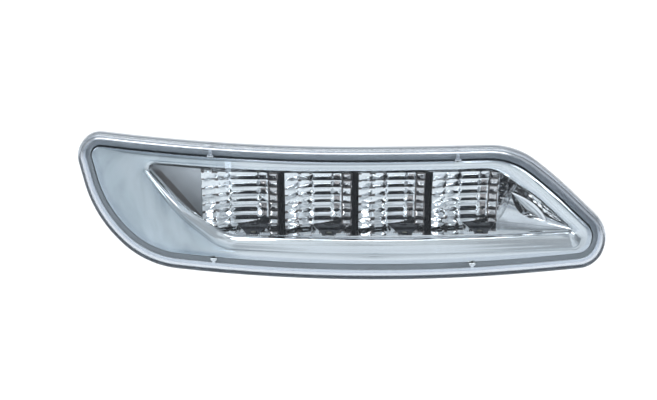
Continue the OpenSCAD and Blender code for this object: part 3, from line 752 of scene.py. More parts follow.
@dataclass(frozen=True)
class GrainedPlastic(Finish):
    """Moulded plastic with a fine spark-eroded grain."""

    colour: Colour = (0.52, 0.55, 0.57)
    drift: float = 0.9
    grain: float = 2600.0
    grain_mm: float = 0.03
    roughness: float = 0.5

    def lay(self, board: Board) -> None:
        """Lay the finish's nodes.

        Args:
            board: Where they are laid.
        """
        drift = board.span(board.noise(scale=30, detail=4), MIDDLE)
        board.feed("Base Color", board.blend(drift, shade(self.colour, self.drift), self.colour))
        grain = board.noise(self.grain, detail=2)
        rough = (self.roughness - 0.08, self.roughness + 0.1)
        board.feed("Roughness", board.span(grain, MIDDLE, rough))
        board.bump(grain, self.grain_mm)


@dataclass(frozen=True)
class Speckled(Finish):
    """A moulded or poured surface whose colour, gloss and height follow one fine grain."""

    colour: Colour
    dark: float
    grain: float
    detail: float
    roughness: Pair
    grain_mm: float

    def coloured(self, board: Board, body: Socket) -> Socket:
        """Give the colour, with another one over part of it where the finish has that."""
        return body

    def lay(self, board: Board) -> None:
        """Lay the finish's nodes.

        Args:
            board: Where they are laid.
        """
        grain = board.noise(self.grain, self.detail)
        body = board.blend(grain, shade(self.colour, self.dark), self.colour)
        board.feed("Base Color", self.coloured(board, body))
        board.feed("Roughness", board.span(grain, MIDDLE, self.roughness))
        board.bump(grain, self.grain_mm)


@dataclass(frozen=True)
class Sealant(Speckled):
    """Hot-melt bead between lens and housing."""

    colour: Colour = (0.30, 0.33, 0.36)
    dark: float = 0.8
    grain: float = 420.0
    detail: float = 3.0
    roughness: Pair = (0.3, 0.5)
    grain_mm: float = 0.08


@dataclass(frozen=True)
class LightResin(Speckled):
    """A light's dark package with a small pale resin window on top, where the tone is one."""

    colour: Colour = (0.04, 0.045, 0.055)
    dark: float = 0.7
    grain: float = 1800.0
    detail: float = 2.0
    roughness: Pair = (0.2, 0.32)
    grain_mm: float = 0.01
    resin: Colour = (0.34, 0.33, 0.26)

    def coloured(self, board: Board, body: Socket) -> Socket:
        """Give the colour, with the resin over the package."""
        return board.blend(board.tone(), body, self.resin)


@dataclass(frozen=True)
class MouldedBlock(Speckled):
    """Epoxy of a small component, with tinned ends where asked."""

    colour: Colour = (0.02, 0.02, 0.022)
    dark: float = 0.7
    grain: float = 2400.0
    detail: float = 3.0
    roughness: Pair = (0.3, 0.5)
    grain_mm: float = 0.02
    tin: Colour = (0.72, 0.73, 0.72)
    tin_left: float = -1.0
    tin_right: float = 1.0

    def coloured(self, board: Board, body: Socket) -> Socket:
        """Make the tinned ends metal.

        Args:
            board: Where the nodes are laid.
            body: Colour of the epoxy.

        Returns:
            The colour of the whole.
        """
        x = board.along()
        left = board.sums(Sum.BELOW, x, self.tin_left)
        tinned = board.sums(Sum.LARGER, left, board.sums(Sum.ABOVE, x, self.tin_right))
        board.feed("Metallic", tinned)
        return board.blend(tinned, body, self.tin)


@dataclass(frozen=True)
class CircuitResist(Finish):
    """Dark solder resist over copper runs."""

    resist: Colour = (0.016, 0.020, 0.032)
    copper: Colour = (0.035, 0.045, 0.062)
    runs_per_metre: float = 420.0
    run_half: float = 0.14
    run_gate: float = 0.52
    roughness: Pair = (0.3, 0.42)
    copper_mm: float = 0.03

    def lay(self, board: Board) -> None:
        """Lay the finish's nodes.

        Args:
            board: Where they are laid.
        """
        run = board.sums(Sum.FRACTION, board.sums(Sum.TIMES, board.along(), self.runs_per_metre))
        off_middle = board.sums(Sum.SIZE, board.sums(Sum.MINUS, run, 0.5))
        tracks = board.sums(Sum.BELOW, off_middle, self.run_half)
        gate = board.sums(Sum.ABOVE, board.noise(scale=70, detail=1), self.run_gate)
        copper = board.sums(Sum.TIMES, tracks, gate)
        board.feed("Base Color", board.blend(copper, self.resist, self.copper))
        skin = board.noise(scale=500, detail=2)
        board.feed("Roughness", board.span(skin, MIDDLE, self.roughness))
        board.set(Specular_IOR_Level=0.3)
        board.bump(copper, self.copper_mm)


@dataclass(frozen=True)
class Metal(Finish):
    """Bare or plated metal with drawing marks along one axis."""

    colour: Colour = (0.72, 0.72, 0.70)
    roughness: float = 0.28
    stretch: tuple[float, float, float] = (1.0, 0.08, 1.0)
    dulling: float = 0.78
    dull_roughness: float = 0.14
    mark_mm: float = 0.012

    def lay(self, board: Board) -> None:
        """Lay the finish's nodes.

        Args:
            board: Where they are laid.
        """
        board.set(Metallic=1.0)
        marks = board.noise(scale=2600, detail=3, where=board.stretched(self.stretch))
        stain = board.span(board.noise(scale=260, detail=4), UPPER)
        board.feed("Base Color", board.blend(stain, self.colour, shade(self.colour, self.dulling)))
        dull = self.roughness + self.dull_roughness
        board.feed("Roughness", board.span(stain, SHARE, (self.roughness, dull)))
        board.bump(marks, self.mark_mm)


@dataclass(frozen=True)
class SoftSleeve(Finish):
    """Rubber or insulation with a dull skin and a pale bloom."""

    colour: Colour = (0.02, 0.02, 0.022)
    roughness: float = 0.6
    bloom_roughness: float = 0.15
    skin_mm: float = 0.02

    def lay(self, board: Board) -> None:
        """Lay the finish's nodes.

        Args:
            board: Where they are laid.
        """
        bloom = board.span(board.noise(scale=300, detail=4), (0.4, 0.75))
        pale = tuple(min(1.0, c * 1.5 + 0.015) for c in self.colour)
        board.feed("Base Color", board.blend(bloom, self.colour, pale))
        dull = self.roughness + self.bloom_roughness
        board.feed("Roughness", board.span(bloom, SHARE, (self.roughness, dull)))
        board.bump(board.noise(scale=3200, detail=2), self.skin_mm)


@dataclass(frozen=True)
class PaleFloor(Finish):
    """Plain pale floor of the studio."""

    colour: Colour = (0.93, 0.94, 0.95)
    drift: float = 0.985
    roughness: float = 0.9

    def lay(self, board: Board) -> None:
        """Lay the finish's nodes.

        Args:
            board: Where they are laid.
        """
        drift = board.noise(scale=3, detail=2)
        board.feed("Base Color", board.blend(drift, self.colour, shade(self.colour, self.drift)))
        board.set(Roughness=self.roughness)


@dataclass
class Assembly:
    """A sub-assembly: it makes its pieces and dresses them."""

    made: list[bpy.types.Object] = field(default_factory=list)

    def _cover(self, obj: bpy.types.Object, finish: Finish) -> None:
        """Give an object its finish and its slot, and count it.

        Args:
            obj: The piece or kept node.
            finish: What covers it.
        """
        obj.data.materials.clear()
        obj.data.materials.append(finish.material())
        self.made.append(obj)

    def dress(self, obj: bpy.types.Object, finish: Finish, slot: Slot, node: str) -> None:
        """Give a new piece its finish and its place in the lamp.

        Args:
            obj: The new piece.
            finish: What covers it.
            slot: Material slot of the record; not used.
            node: Construction node that it stands for.
        """
        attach(obj, BODY)
        self._cover(obj, finish)
        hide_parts(node)
        log.info("piece %s: %d faces", obj.name, len(obj.data.polygons))

    def keep(self, node: str, finish: Finish, slot: Slot) -> None:
        """Give a construction node that stays its finish.

        Args:
            node: Name of the node.
            finish: What covers it.
            slot: Material slot of the record; not used.
        """
        self._cover(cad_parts[node], finish)
        log.info("kept %s", node)


@dataclass
class Station:
    """One ring of a lofted skin: a flat outline and how far it is set back.

    The fillet rounds the ring's crease, the steps cut the stretch to the next ring, and the
    crown swells that stretch.
    """

    ring: Points
    setback: float
    fillet: float = 0.0
    steps: int = 1
    crown: float = 0.0

    def stacked(self) -> Points:
        """Give the outline with its setback as a third column."""
        return np.column_stack([self.ring, np.full(len(self.ring), self.setback)])


def skin(stations: Sequence[Station]) -> list[Points]:
    """Work out the rings of a closed skin with rounded creases.

    Args:
        stations: The rings in order round the section.

    Returns:
        Rings of x, z and setback.
    """
    fillet_steps, longest_fillet = 6, 0.45

    def towards(at: Points, other: Points, fillet: float) -> Points:
        """Where a fillet of one ring's crease meets the stretch to another ring."""
        reach = np.linalg.norm(other - at, axis=1, keepdims=True)
        return at + (other - at) * np.minimum(fillet / reach, longest_fillet)

    rings: list[Points] = []
    n = len(stations)
    for i, here in enumerate(stations):
        nxt = stations[(i + 1) % n]
        before, at, end = stations[i - 1].stacked(), here.stacked(), nxt.stacked()
        if here.fillet:
            first, last = (towards(at, other, here.fillet) for other in (before, end))
            rings += [rounded(first, at, last, k / fillet_steps) for k in range(fillet_steps + 1)]
        else:
            rings.append(at)
        if nxt.fillet:
            end = towards(end, at, nxt.fillet)
        start = rings[-1]
        for k in range(1, here.steps):
            t = k / here.steps
            step = start + (end - start) * t
            step[:, 2] -= here.crown * 4 * t * (1 - t)
            rings.append(step)
    return rings


@dataclass
class LensAssembly(Assembly):
    """The clear outer lens and the bead that seals it to the housing."""

    wall: float = 2.4
    skirt: float = 9.95
    skirt_round: tuple[Pair, ...] = ((-0.35, 0.0), (-0.1, -0.1), (0.0, -0.35))
    rim_foot: float = 7.0
    rim_reach: float = 6.0
    rim_height: float = 4.4
    rim_power: float = 2.35
    rim_steps: int = 29
    hollow_foot: float = 7.5
    hollow_gap: float = 0.4
    hollow_reach: float = 4.0
    hollow_height: float = 3.0
    hollow_power: float = 2.05
    hollow_steps: int = 22
    grey_fade: float = 1.5
    net: float = 4.0
    seal_middle: float = -1.4
    seal_half: float = 0.95
    seal_span: Pair = (10.0, 10.55)
    seal_sides: int = 12
    seal_power: float = 0.6
    seal_wave: float = 0.12
    seal_window: int = 13
    seal_seed: int = 11

    def _bend(self, turn: Pair, steps: int, power: float) -> list[Points]:
        """Work out a rounded corner of the section.

        Args:
            turn: First and last angle.
            steps: Number of points.
            power: How full the corner is, a circle at 2.

        Returns:
            Shares of its reach and of its height.
        """
        angles = np.linspace(*turn, steps)
        return [np.power(np.maximum(f(angles), 0), 2 / power) for f in (np.cos, np.sin)]

    def _outer(self) -> list[Pair]:
        """Work out the section of the outside.

        Returns:
            How far out and how far back, from the skirt's edge to the flat of the face.
        """
        c, s = self._bend((0, QUARTER_TURN), self.rim_steps, self.rim_power)
        across = -self.rim_reach + self.rim_reach * c
        deep = self.rim_height - self.rim_height * s
        foot = [(out, self.skirt + back) for out, back in self.skirt_round]
        return [*foot, (0.0, self.rim_foot), *zip(across, deep)]

    def _inner(self) -> list[Pair]:
        """Work out the section of the inside.

        Returns:
            How far out and how far back, from the flat of the face to the skirt's edge.
        """
        c, s = self._bend((QUARTER_TURN, 0), self.hollow_steps, self.hollow_power)
        across = -self.rim_reach - self.hollow_gap + self.hollow_reach * c
        deep = self.wall + self.hollow_height - self.hollow_height * s
        return [*zip(across, deep), (-self.wall, self.hollow_foot), (-self.wall, self.skirt)]

    def lens(self) -> None:
        """Build and dress the lens."""
        blank = Blank()
        outer, inner = self._outer(), self._inner()
        for section in (outer, inner, [inner[-1], outer[0]]):
            rings = np.stack([BOW.place(LENS_OUTLINE.ring(out, FINE), back)
                              for out, back in section])
            across = np.array([out for out, _ in section])[:, None]
            blank.sheet(rings, wrap=True, tone=smooth((across + self.rim_reach) / self.grey_fade))
        for out, back in (outer[-1], inner[0]):
            blank.cap(LENS_OUTLINE.ring(out, FINE), lambda p, s=back: BOW.place(p, s), self.net)
        self.dress(blank.piece("clear_lens", sharp=60), ClearAcrylic(), Slot.LENS, "outer_lens")

    def seal(self) -> None:
        """Build and dress the sealing bead."""
        count, half_window = len(LENS_OUTLINE.ring(0, FINE)), self.seal_window // 2
        drift = np.random.default_rng(self.seal_seed).normal(0, 1, count)
        drift = np.concatenate([drift[-half_window:], drift, drift[:half_window]])
        drift = np.convolve(drift, np.ones(self.seal_window) / self.seal_window, "valid")
        low, high = self.seal_span
        rings = []
        for k in range(self.seal_sides):
            angle = FULL_TURN * k / self.seal_sides
            side, up = (math.copysign(abs(f(angle)) ** self.seal_power, f(angle))
                        for f in (math.cos, math.sin))
            out = self.seal_middle + side * self.seal_half
            flat = LENS_OUTLINE.ring(out, FINE)
            inward = LENS_OUTLINE.ring(out - self.seal_wave, FINE) - flat
            back = (low + high) / 2 + up * (high - low) / 2
            rings.append(BOW.place(flat + inward * drift[:, None], back))
        blank = Blank()
        blank.sheet(np.stack([*rings, rings[0]]), wrap=True)
        self.dress(blank.piece("sealing_bead", sharp=70), Sealant(), Slot.SEAL, "lens_seal")

    def build(self) -> None:
        """Build the sub-assembly."""
        self.lens()
        self.seal()


@dataclass
class BezelAssembly(Assembly):
    """The plated bezel with its leaf-shaped opening, and the four clips on its edge."""

    inset: float = 6.5
    wall: float = 1.6
    face: float = 8.0
    crease_rise: float = 0.4
    crease_wall: float = 1.15
    lip: float = 11.0
    lip_back: float = 13.6
    lip_lean: float = 0.3
    lip_wall: float = 0.8
    edge_back: float = 13.0
    milk_from: float = -44.0
    milk_fade: float = 16.0
    milk_back: float = 9.0
    milk_back_fade: float = 0.8
    milk_edge: float = 0.6
    face_level: float = 7.75
    face_band: float = 0.5
    face_fade: float = 0.4
    clip_width: float = 3.4
    clip_depth: float = 6.4
    clip_thick: float = 3.2
    clip_round: float = 0.35
    clip_steps: int = 13
    stem_share: float = 0.225
    stem_inset: Pair = (0.6, 2.8)
    clips: tuple[tuple[str, Edge, float], ...] = (
        ("clip_top_left", Edge.TOP, -62), ("clip_top_right", Edge.TOP, 55),
        ("clip_bottom_left", Edge.BOTTOM, -61), ("clip_bottom_right", Edge.BOTTOM, 62.5),
    )

    def _stations(self) -> list[Station]:
        """Set out the bezel's section.

        Returns:
            Its rings, front side first.
        """
        i, t, d, lip, edge = self.inset, self.wall, self.face, self.lip, self.edge_back
        outer, outer_back = (LENS_OUTLINE.ring(-out, FINE) for out in (i, i + t))
        crease = CREASE_OUTLINE.ring(0, FINE)
        leaf = [LEAF_OUTLINE.ring(out, FINE) for out in (0, -self.lip_lean, t * self.lip_wall, t)]
        rise = d - self.crease_rise
        return [
            Station(outer, edge, steps=2),
            Station(outer, d, fillet=0.6, steps=12, crown=0.25),
            Station(crease, rise, fillet=1.1, steps=8, crown=0.3),
            Station(leaf[0], lip, fillet=0.8, steps=3),
            Station(leaf[1], self.lip_back, fillet=0.3),
            Station(leaf[2], self.lip_back, fillet=0.2),
            Station(leaf[3], lip + t, steps=2),
            Station(crease, rise + t * self.crease_wall, steps=2),
            Station(outer_back, d + t),
            Station(outer_back, edge),
        ]

    def bezel(self) -> None:
        """Build and dress the bezel."""
        rings = skin(self._stations())
        rings.append(rings[0])
        grid = np.stack([BOW.place(r[:, :2], r[:, 2]) for r in rings])
        level = np.stack([r[:, 2] for r in rings])
        milk = smooth((self.milk_from - grid[..., 0]) / self.milk_fade)
        front = smooth((self.milk_back - level) / self.milk_back_fade)
        face = smooth((self.face_band - np.abs(level - self.face_level)) / self.face_fade)
        blank = Blank()
        blank.sheet(grid, wrap=True, tone=milk * np.maximum(front * self.milk_edge, face))
        self.dress(blank.piece("plated_bezel", sharp=40), BezelChrome(), Slot.CHROME, "bezel")

    def clip(self, name: str, edge: Edge, x: float) -> None:
        """Build and dress one clip.

        Args:
            name: Construction node that it stands for.
            edge: Edge of the bezel that it sits on.
            x: Place along the lamp.
        """
        lo, hi = lamp_box(name)
        root, tip = (lo[2], hi[2]) if edge is Edge.TOP else (hi[2], lo[2])
        depth = BOW.crown_y + BOW.depth(x, self.clip_depth)
        r = self.clip_width / 2
        angles = np.linspace(0, math.pi, self.clip_steps)
        disc = np.stack([x + r * np.cos(angles), root + edge.value * r * np.sin(angles)], axis=-1)
        blank = Blank()
        blank.prism(disc, (depth, depth + self.clip_thick), Axis.DEPTH)
        half = self.clip_width * self.stem_share
        stem = np.array([[x - half, root], [x - half, tip], [x + half, tip], [x + half, root]])
        blank.prism(stem, tuple(depth + inset for inset in self.stem_inset), Axis.DEPTH)
        piece = blank.piece(name + "_tab", sharp=30, bevel=self.clip_round)
        self.dress(piece, ReflectorPlateAndPaintedShade(bright=(0.95, 0.95, 0.94)), Slot.CHROME, name)

    def build(self) -> None:
        """Build the sub-assembly."""
        self.bezel()
        for name, edge, x in self.clips:
            self.clip(name, edge, x)


@dataclass(frozen=True)
class Column:
    """One upright strip of the reflector, with its place and the cell that it belongs to."""

    start: float
    width: float
    strip: Strip
    cell: int

    @property
    def end(self) -> float:
        """Where the strip ends."""
        return self.start + self.width

    @property
    def curved_as(self) -> int:
        """Cell whose curve the strip follows."""
        return self.cell + 1 if self.strip is Strip.GROOVE_END else self.cell


@dataclass(frozen=True)
class PaintedShading:
    """Tones of the reflector's front, which say where painted shade and painted reflections lie on
    its plating.
    """

    painted_shade: float = 1.0
    outline: float = 0.8
    patch: float = 0.55
    painted_gleam: float = 0.4
    painted_brown_tint: float = 0.28
    painted_gleam_chance: float = 0.9
    outline_from: float = 0.7
    painted_brown_tint_chance: float = -0.8
    patch_within: float = 0.62
    patch_chance: float = -0.4
    corner_from: Pair = (0.62, 0.6)
    corner_chance: float = -0.5
    # Where the painted shade at the foot of each cell lies, beside its light.
    foot_start: float = -6.0
    foot_width: float = 15.0
    foot_rise: Pair = (0.1, 0.75)

    def line(self, column: Column, u: float, v: Points, rows: Points, chance: Points,
             light_x: float) -> Points:
        """Tone of the painted shade and painted reflections along one upright line.

        Args:
            column: The strip that holds the line.
            u: Share across the strip.
            v: Share up the row at each cut.
            rows: Rows at which the front is cut.
            chance: A random number for the row of each cut.
            light_x: Place of the cell's light along the lamp.

        Returns:
            The tone at each cut.
        """
        strip = column.strip
        # Painted shade: the grooves are black, except random cells on their walls, which carry a
        # painted brown gleam.
        if strip.is_groove:
            painted_gleam = (chance > self.painted_gleam_chance) & (strip is not Strip.GROOVE_FLOOR)
            return np.where(painted_gleam, self.painted_gleam, self.painted_shade)
        sideways, upright = abs(2 * u - 1), np.abs(2 * v - 1)
        rim = np.maximum(sideways, upright)
        # Painted shade and painted reflection: dark outlines round the narrow outer pillows, with a
        # painted brown tint inside.
        if strip is Strip.NARROW_OUTER:
            painted_brown_tint = np.where(chance > self.painted_brown_tint_chance, self.painted_brown_tint, 0.0)
            tone = np.where(rim > self.outline_from, self.outline, painted_brown_tint)
        # Painted brown reflection in the middle of some narrow inner pillows.
        elif strip is Strip.NARROW_INNER:
            patch = (rim < self.patch_within) & (chance > self.patch_chance)
            tone = np.where(patch, self.patch, 0.0)
        elif strip is Strip.FLUTES:
            tone = np.zeros_like(rows)
        # Painted dark reflection at some corners of the wide pillows.
        else:
            corner = (sideways > self.corner_from[0]) & (upright > self.corner_from[1])
            tone = np.where(corner & (chance > self.corner_chance), self.outline, 0.0)
        # Painted shade: black at the foot of the flutes and narrow inner pillows beside the cell's
        # light.
        across = (column.start + u * column.width - light_x - self.foot_start) / self.foot_width
        dark = strip in (Strip.FLUTES, Strip.NARROW_INNER) and 0 < across < 1
        low, rise = self.foot_rise
        return np.where(dark & (rows < low + rise * across), self.painted_shade, tone)


@dataclass(frozen=True)
class Fin:
    """The leaf-shaped fin that lies on the right cheek, in shares along and up the cheek."""

    start: Pair = (0.16, 0.56)
    run: Pair = (0.5, -0.4)
    half: float = 0.17
    slant: float = 0.5
    edge_lift: float = 0.2
    tip_lift: float = 0.2
    middle_lift: float = 1.4
    ridge_power: float = 1.4
    keel: float = 0.5
    along_steps: int = 33
    across_steps: int = 13

    def sheets(self, cheek: Callable[[Points, Points], Points]) -> tuple[Points, Points]:
        """Work out the fin's two sides.

        Args:
            cheek: Gives the cheek's point at shares along and up it.

        Returns:
            Grids of the front and of the side that is sunk in the cheek.
        """
        across = np.linspace(-1, 1, self.across_steps)
        front, sunk = [], []
        for s in np.linspace(0, 1, self.along_steps):
            belly = math.sin(math.pi * s)
            half = self.half * belly
            u = self.start[0] + self.run[0] * s + across * half * self.slant
            w = self.start[1] + self.run[1] * s + across * half
            ridge = 1 - np.abs(across) ** self.ridge_power
            point = cheek(u, w)
            lift = (self.tip_lift + self.middle_lift * belly) * ridge
            for side, shift in ((front, -self.edge_lift - lift),
                                (sunk, self.keel * (1 - np.abs(across)) - self.edge_lift)):
                moved = point.copy()
                moved[..., 1] += shift
                side.append(moved)
        return np.stack(front), np.stack(sunk)


@dataclass
class ReflectorAssembly(Assembly):
    """The plated reflector with its four cells of pillows and flutes, its shelf and both cheeks."""

    left: float = -67.0
    shelf_z: float = -18.9
    gap: float = 0.05
    height: float = 31.0
    depth: float = 37.5
    top_depth: float = 15.2
    focus: float = 20.0
    pillow_wide: float = 6.6
    pillow_narrow: float = 4.7
    flute: float = 9.5
    flute_first: float = 14.0
    groove: float = 3.3
    groove_edge: float = 0.3
    groove_depth: float = 5.0
    rows: int = 7
    row_growth: float = 1.12
    row_step: float = 2.2
    ledge: float = 0.9
    pillow_rise: float = 0.6
    pillow_power: float = 2.4
    pillow_lean: float = 0.25
    facet: float = 0.11
    facets: int = 4
    flute_rise: float = 0.7
    flute_fade: float = 0.07
    wall: float = 1.8
    wall_lean: float = 65.0
    cells: int = 4
    light_first: float = -42.5
    light_pitch: float = 36.5
    lip_back: float = 13.6
    left_tip: Pair = (-95.0, 17.0)
    left_top: float = 14.6
    left_belly: float = 1.6
    left_steps: int = 25
    left_edge: Pair = (0.17, 0.1)
    left_edge_fade: Pair = (0.04, 0.1)
    left_push: tuple[float, float, float] = (-0.9, 1.1, 0.0)
    # Strength of the painted reflection along the left cheek's edge.
    left_edge_painted_reflection: float = 0.55
    cheek_end: float = 112.5
    cheek_edge: tuple[Pair, ...] = ((77, 15.6), (94, 1.5), (112.5, -17.6))
    cheek_clear: float = 34.4
    cheek_inset: Pair = (0.6, 1.2)
    cheek_gap: float = 0.1
    # Strength of the painted brown reflection over the cheek's pillows.
    cheek_push: tuple[float, float, float] = (0.8, 1.2, 0.0)
    cheek_painted_brown_tint: float = 0.2
    cheek_steps: tuple[int, int] = (145, 91)
    cheek_pillows: Pair = (0.42, -0.3)
    cheek_pillow_top: float = 0.97
    cheek_pillow_power: float = 0.6
    cheek_fade: Pair = (0.3, 0.04)
    deep_right: float = 92.0
    pillow_steps: int = 12
    flute_steps: int = 22
    groove_steps: int = 3
    row_cuts: int = 10
    seed: int = 7
    # Painted shade and painted reflections on the reflector's front.
    plating: PaintedShading = field(default_factory=PaintedShading)
    fin: Fin = field(default_factory=Fin)

    def columns(self) -> list[Column]:
        """Set out the reflector's strips.

        Returns:
            The strips from left to right.
        """
        wide, narrow, edge = self.pillow_wide, self.pillow_narrow, self.groove_edge
        columns, x = [], self.left
        for cell in range(self.cells):
            middle = self.flute_first if cell == 0 else self.flute
            widths = [wide, wide, middle, narrow, narrow]
            if cell < self.cells - 1:
                widths += [edge, self.groove - 2 * edge, edge]
            for strip, width in zip(Strip, widths):
                columns.append(Column(x, width, strip, cell))
                x += width
        return columns

    def right(self) -> float:
        """Right end of the reflector."""
        return self.columns()[-1].end

    def light_x(self, cell: int) -> float:
        """Place of a cell's light along the lamp."""
        return self.light_first + cell * self.light_pitch

    def base(self, x: Points | float, cell: int) -> Points | float:
        """Depth of a cell at the shelf."""
        middle = self.light_x(cell)
        return self.depth + BOW.depth(middle, 0) - np.square(x - middle) / (4 * self.focus)

    def surface(self, x: Points | float, cell: int, share: Points | float) -> Points | float:
        """Depth of a cell at a share of its height."""
        w = np.square(share)
        return self.base(x, cell) * (1 - w) + BOW.depth(x, self.top_depth) * w

    def level(self, row: Points | float) -> Points | float:
        """Share of the height at which a row starts."""
        return np.power(row / self.rows, self.row_growth)

    def _cuts(self) -> Points:
        """Rows at which the front is cut: fine within each row, then the ledge above it."""
        within = np.linspace(0, self.ledge, self.row_cuts)
        return np.concatenate([*(r + within for r in range(self.rows)), [float(self.rows)]])

    def _steps(self, strip: Strip) -> int:
        """Steps across a strip."""
        if strip.is_groove:
            return self.groove_steps
        return self.flute_steps if strip is Strip.FLUTES else self.pillow_steps

    def _front(self) -> tuple[Points, Points]:
        """Work out the front of the reflector.

        Returns:
            Its points as a grid, and their tones.
        """
        rows = self._cuts()
        share = self.level(rows)
        number = np.minimum(rows.astype(int), self.rows - 1)
        v = np.clip((rows - number) / self.ledge, 0, 1)
        out = self.row_step * (1 - v)
        z = self.shelf_z + self.gap + self.height * share
        rng = np.random.default_rng(self.seed)
        nodes = self.facets + 1
        grid, tones = [], []
        for column in self.columns():
            strip, light_x = column.strip, self.light_x(column.cell)
            tilt = rng.normal(0, 1, (2, self.rows))
            net = rng.normal(0, self.facet, (self.rows, nodes, nodes))
            steps = self._steps(strip)
            for u in (k / steps for k in range(steps)):
                x = column.start + u * column.width
                deep = self.surface(x, column.curved_as, share)
                if strip.is_groove:
                    sunk = {Strip.GROOVE_START: u, Strip.GROOVE_END: 1 - u}.get(strip, 1.0)
                    deep = deep + self.groove_depth * sunk - out * (1 - sunk)
                elif strip is Strip.FLUTES:
                    edge = float(smooth(min(u, 1 - u) / self.flute_fade))
                    deep = deep - self.flute_rise * (1 - np.abs(2 * v - 1) ** 2) * edge - out
                else:
                    up, along = (1 - abs(2 * s - 1) ** self.pillow_power for s in (v, u))
                    lean = tilt[0][number] * (u - 0.5) + tilt[1][number] * (v - 0.5)
                    rise = self.pillow_rise * (1 + self.pillow_lean * lean)
                    rise = rise + self._facets(net, number, u, v)
                    deep = deep - up * along * rise - out
                grid.append(np.stack([np.full_like(z, x), BOW.crown_y + deep, z], axis=-1))
                # The tones carry the painted shade and painted reflections.
                tones.append(self.plating.line(column, u, v, rows, tilt[0][number], light_x))
        x = self.right()
        deep = self.surface(x, self.cells - 1, share) - out
        grid.append(np.stack([np.full_like(z, x), BOW.crown_y + deep, z], axis=-1))
        tones.append(np.zeros_like(z))
        return np.stack(grid), np.stack(tones)

    def _facets(self, net: Points, number: Points, u: float, v: Points) -> Points:
        """Height of the small facets cut into the pillows along one line.

        Args:
            net: Heights at the nodes of each row's pillow.
            number: Row of each cut.
            u: Share across the pillow.
            v: Share up the pillow at each cut.

        Returns:
            The height at each cut.
        """
        n = self.facets
        i, a = int(u * n), u * n % 1
        j = np.minimum((v * n).astype(int), n - 1)
        b = v * n - j
        low = net[number, i, j] * (1 - a) + net[number, i + 1, j] * a
        high = net[number, i, j + 1] * (1 - a) + net[number, i + 1, j + 1] * a
        return low * (1 - b) + high * b

    def reflector(self) -> None:
        """Build and dress the reflector."""
        front, tones = self._front()
        rows = self._cuts()
        plain = []
        for x in front[:, 0, 0]:
            cell = int(np.clip(round((x - self.light_first) / self.light_pitch), 0, self.cells - 1))
            plain.append(self.surface(x, cell, self.level(rows)))
        pushed = np.maximum(front[..., 1] - BOW.crown_y, np.stack(plain))
        lean = np.radians(self.wall_lean * rows / self.rows)
        back = front.copy()
        back[..., 1] = BOW.crown_y + pushed + self.wall * np.cos(lean)
        back[..., 2] += self.wall * np.sin(lean)
        blank = Blank()
        blank.slab(front, back, tones)
        piece = blank.piece("pillow_reflector", sharp=24)
        self.dress(piece, ReflectorPlateAndPaintedShade(), Slot.REFLECTOR, "reflector")

    def cheek_left(self) -> None:
        """Build and dress the smooth facet at the left end of the opening."""
        x, (tip_x, tip_z) = self.left - self.cheek_gap, self.left_tip
        corners = np.array([
            [tip_x, BOW.crown_y + BOW.depth(tip_x, self.lip_back + 0.7), tip_z],
            [x, BOW.crown_y + BOW.depth(x, self.top_depth), self.left_top],
            [x, BOW.crown_y + self.base(self.left, 0), self.shelf_z + self.gap],
        ])
        share = np.linspace(0, 1, self.left_steps)
        u, v = share[:, None], share[None, :]
        weights = np.stack([(1 - u) * (1 - v), u * (1 - v), v + 0 * u], axis=-1)
        front = weights @ corners
        # The three weights multiply to a 27th at the middle, where the belly is whole.
        front[..., 1] += self.left_belly * 27 * np.prod(weights, axis=-1)
        # Painted reflection: a brown and dark strip along the cheek's lower-left edge.
        (wide, low), (wide_fade, low_fade) = self.left_edge, self.left_edge_fade
        edge = smooth((wide - weights[..., 1]) / wide_fade)
        edge = edge * smooth((weights[..., 2] - low) / low_fade)
        blank = Blank()
        blank.slab(front, front + np.array(self.left_push), edge * self.left_edge_painted_reflection)
        finish = ReflectorPlateAndPaintedShade(bright=(0.93, 0.96, 1.0), haze=0.85)
        self.dress(blank.piece("left_cheek", sharp=30), finish, Slot.REFLECTOR, "cheek_left")

    def _cheek(self, u: Points | float, w: Points | float) -> Points:
        """Work out points of the right cheek.

        Args:
            u: Share along the cheek.
            w: Share up the cheek.

        Returns:
            The points in the lamp's frame.
        """
        u, w = np.broadcast_arrays(np.asarray(u, float), np.asarray(w, float))
        start = self.right() + self.cheek_gap
        x = start + (self.cheek_end - start) * u
        near_inset, tip_inset = self.cheek_inset
        near = BOW.depth(x, self.lip_back + near_inset)
        deep = self.base(self.right(), self.cells - 1)
        tip = BOW.depth(self.cheek_end, self.lip_back + tip_inset)
        power = math.log((deep - self.cheek_clear) / (deep - tip)) / math.log(
            (self.deep_right - start) / (self.cheek_end - start))
        far = deep + (tip - deep) * np.power(np.maximum(u, 0), power)
        low = self.shelf_z + self.gap
        high = np.maximum(np.interp(x, *zip(*self.cheek_edge)), low + 1)
        y = BOW.crown_y + far + (np.minimum(near, far - self.cheek_gap) - far) * w * w
        return np.stack([x, y, low + (high - low) * w], axis=-1)

    def cheek_right(self) -> None:
        """Build and dress the swept wall at the right end of the opening, with its fin."""
        along, up = (np.linspace(0, 1, steps) for steps in self.cheek_steps)
        u, w = along[:, None], up[None, :]
        front = self._cheek(u, w)
        reach = (front[..., 0] - self.right()) / self.pillow_narrow
        row = (front[..., 2] - self.shelf_z) / self.height * self.rows
        (slope, first), (along_fade, top_fade) = self.cheek_pillows, self.cheek_fade
        held = smooth((row * slope + first - reach) / along_fade)
        held = held * smooth((self.cheek_pillow_top - w) / top_fade)
        swell = np.abs(np.sin(math.pi * reach) * np.sin(math.pi * row)) ** self.cheek_pillow_power
        front[..., 1] -= self.pillow_rise * swell * held
        blank = Blank()
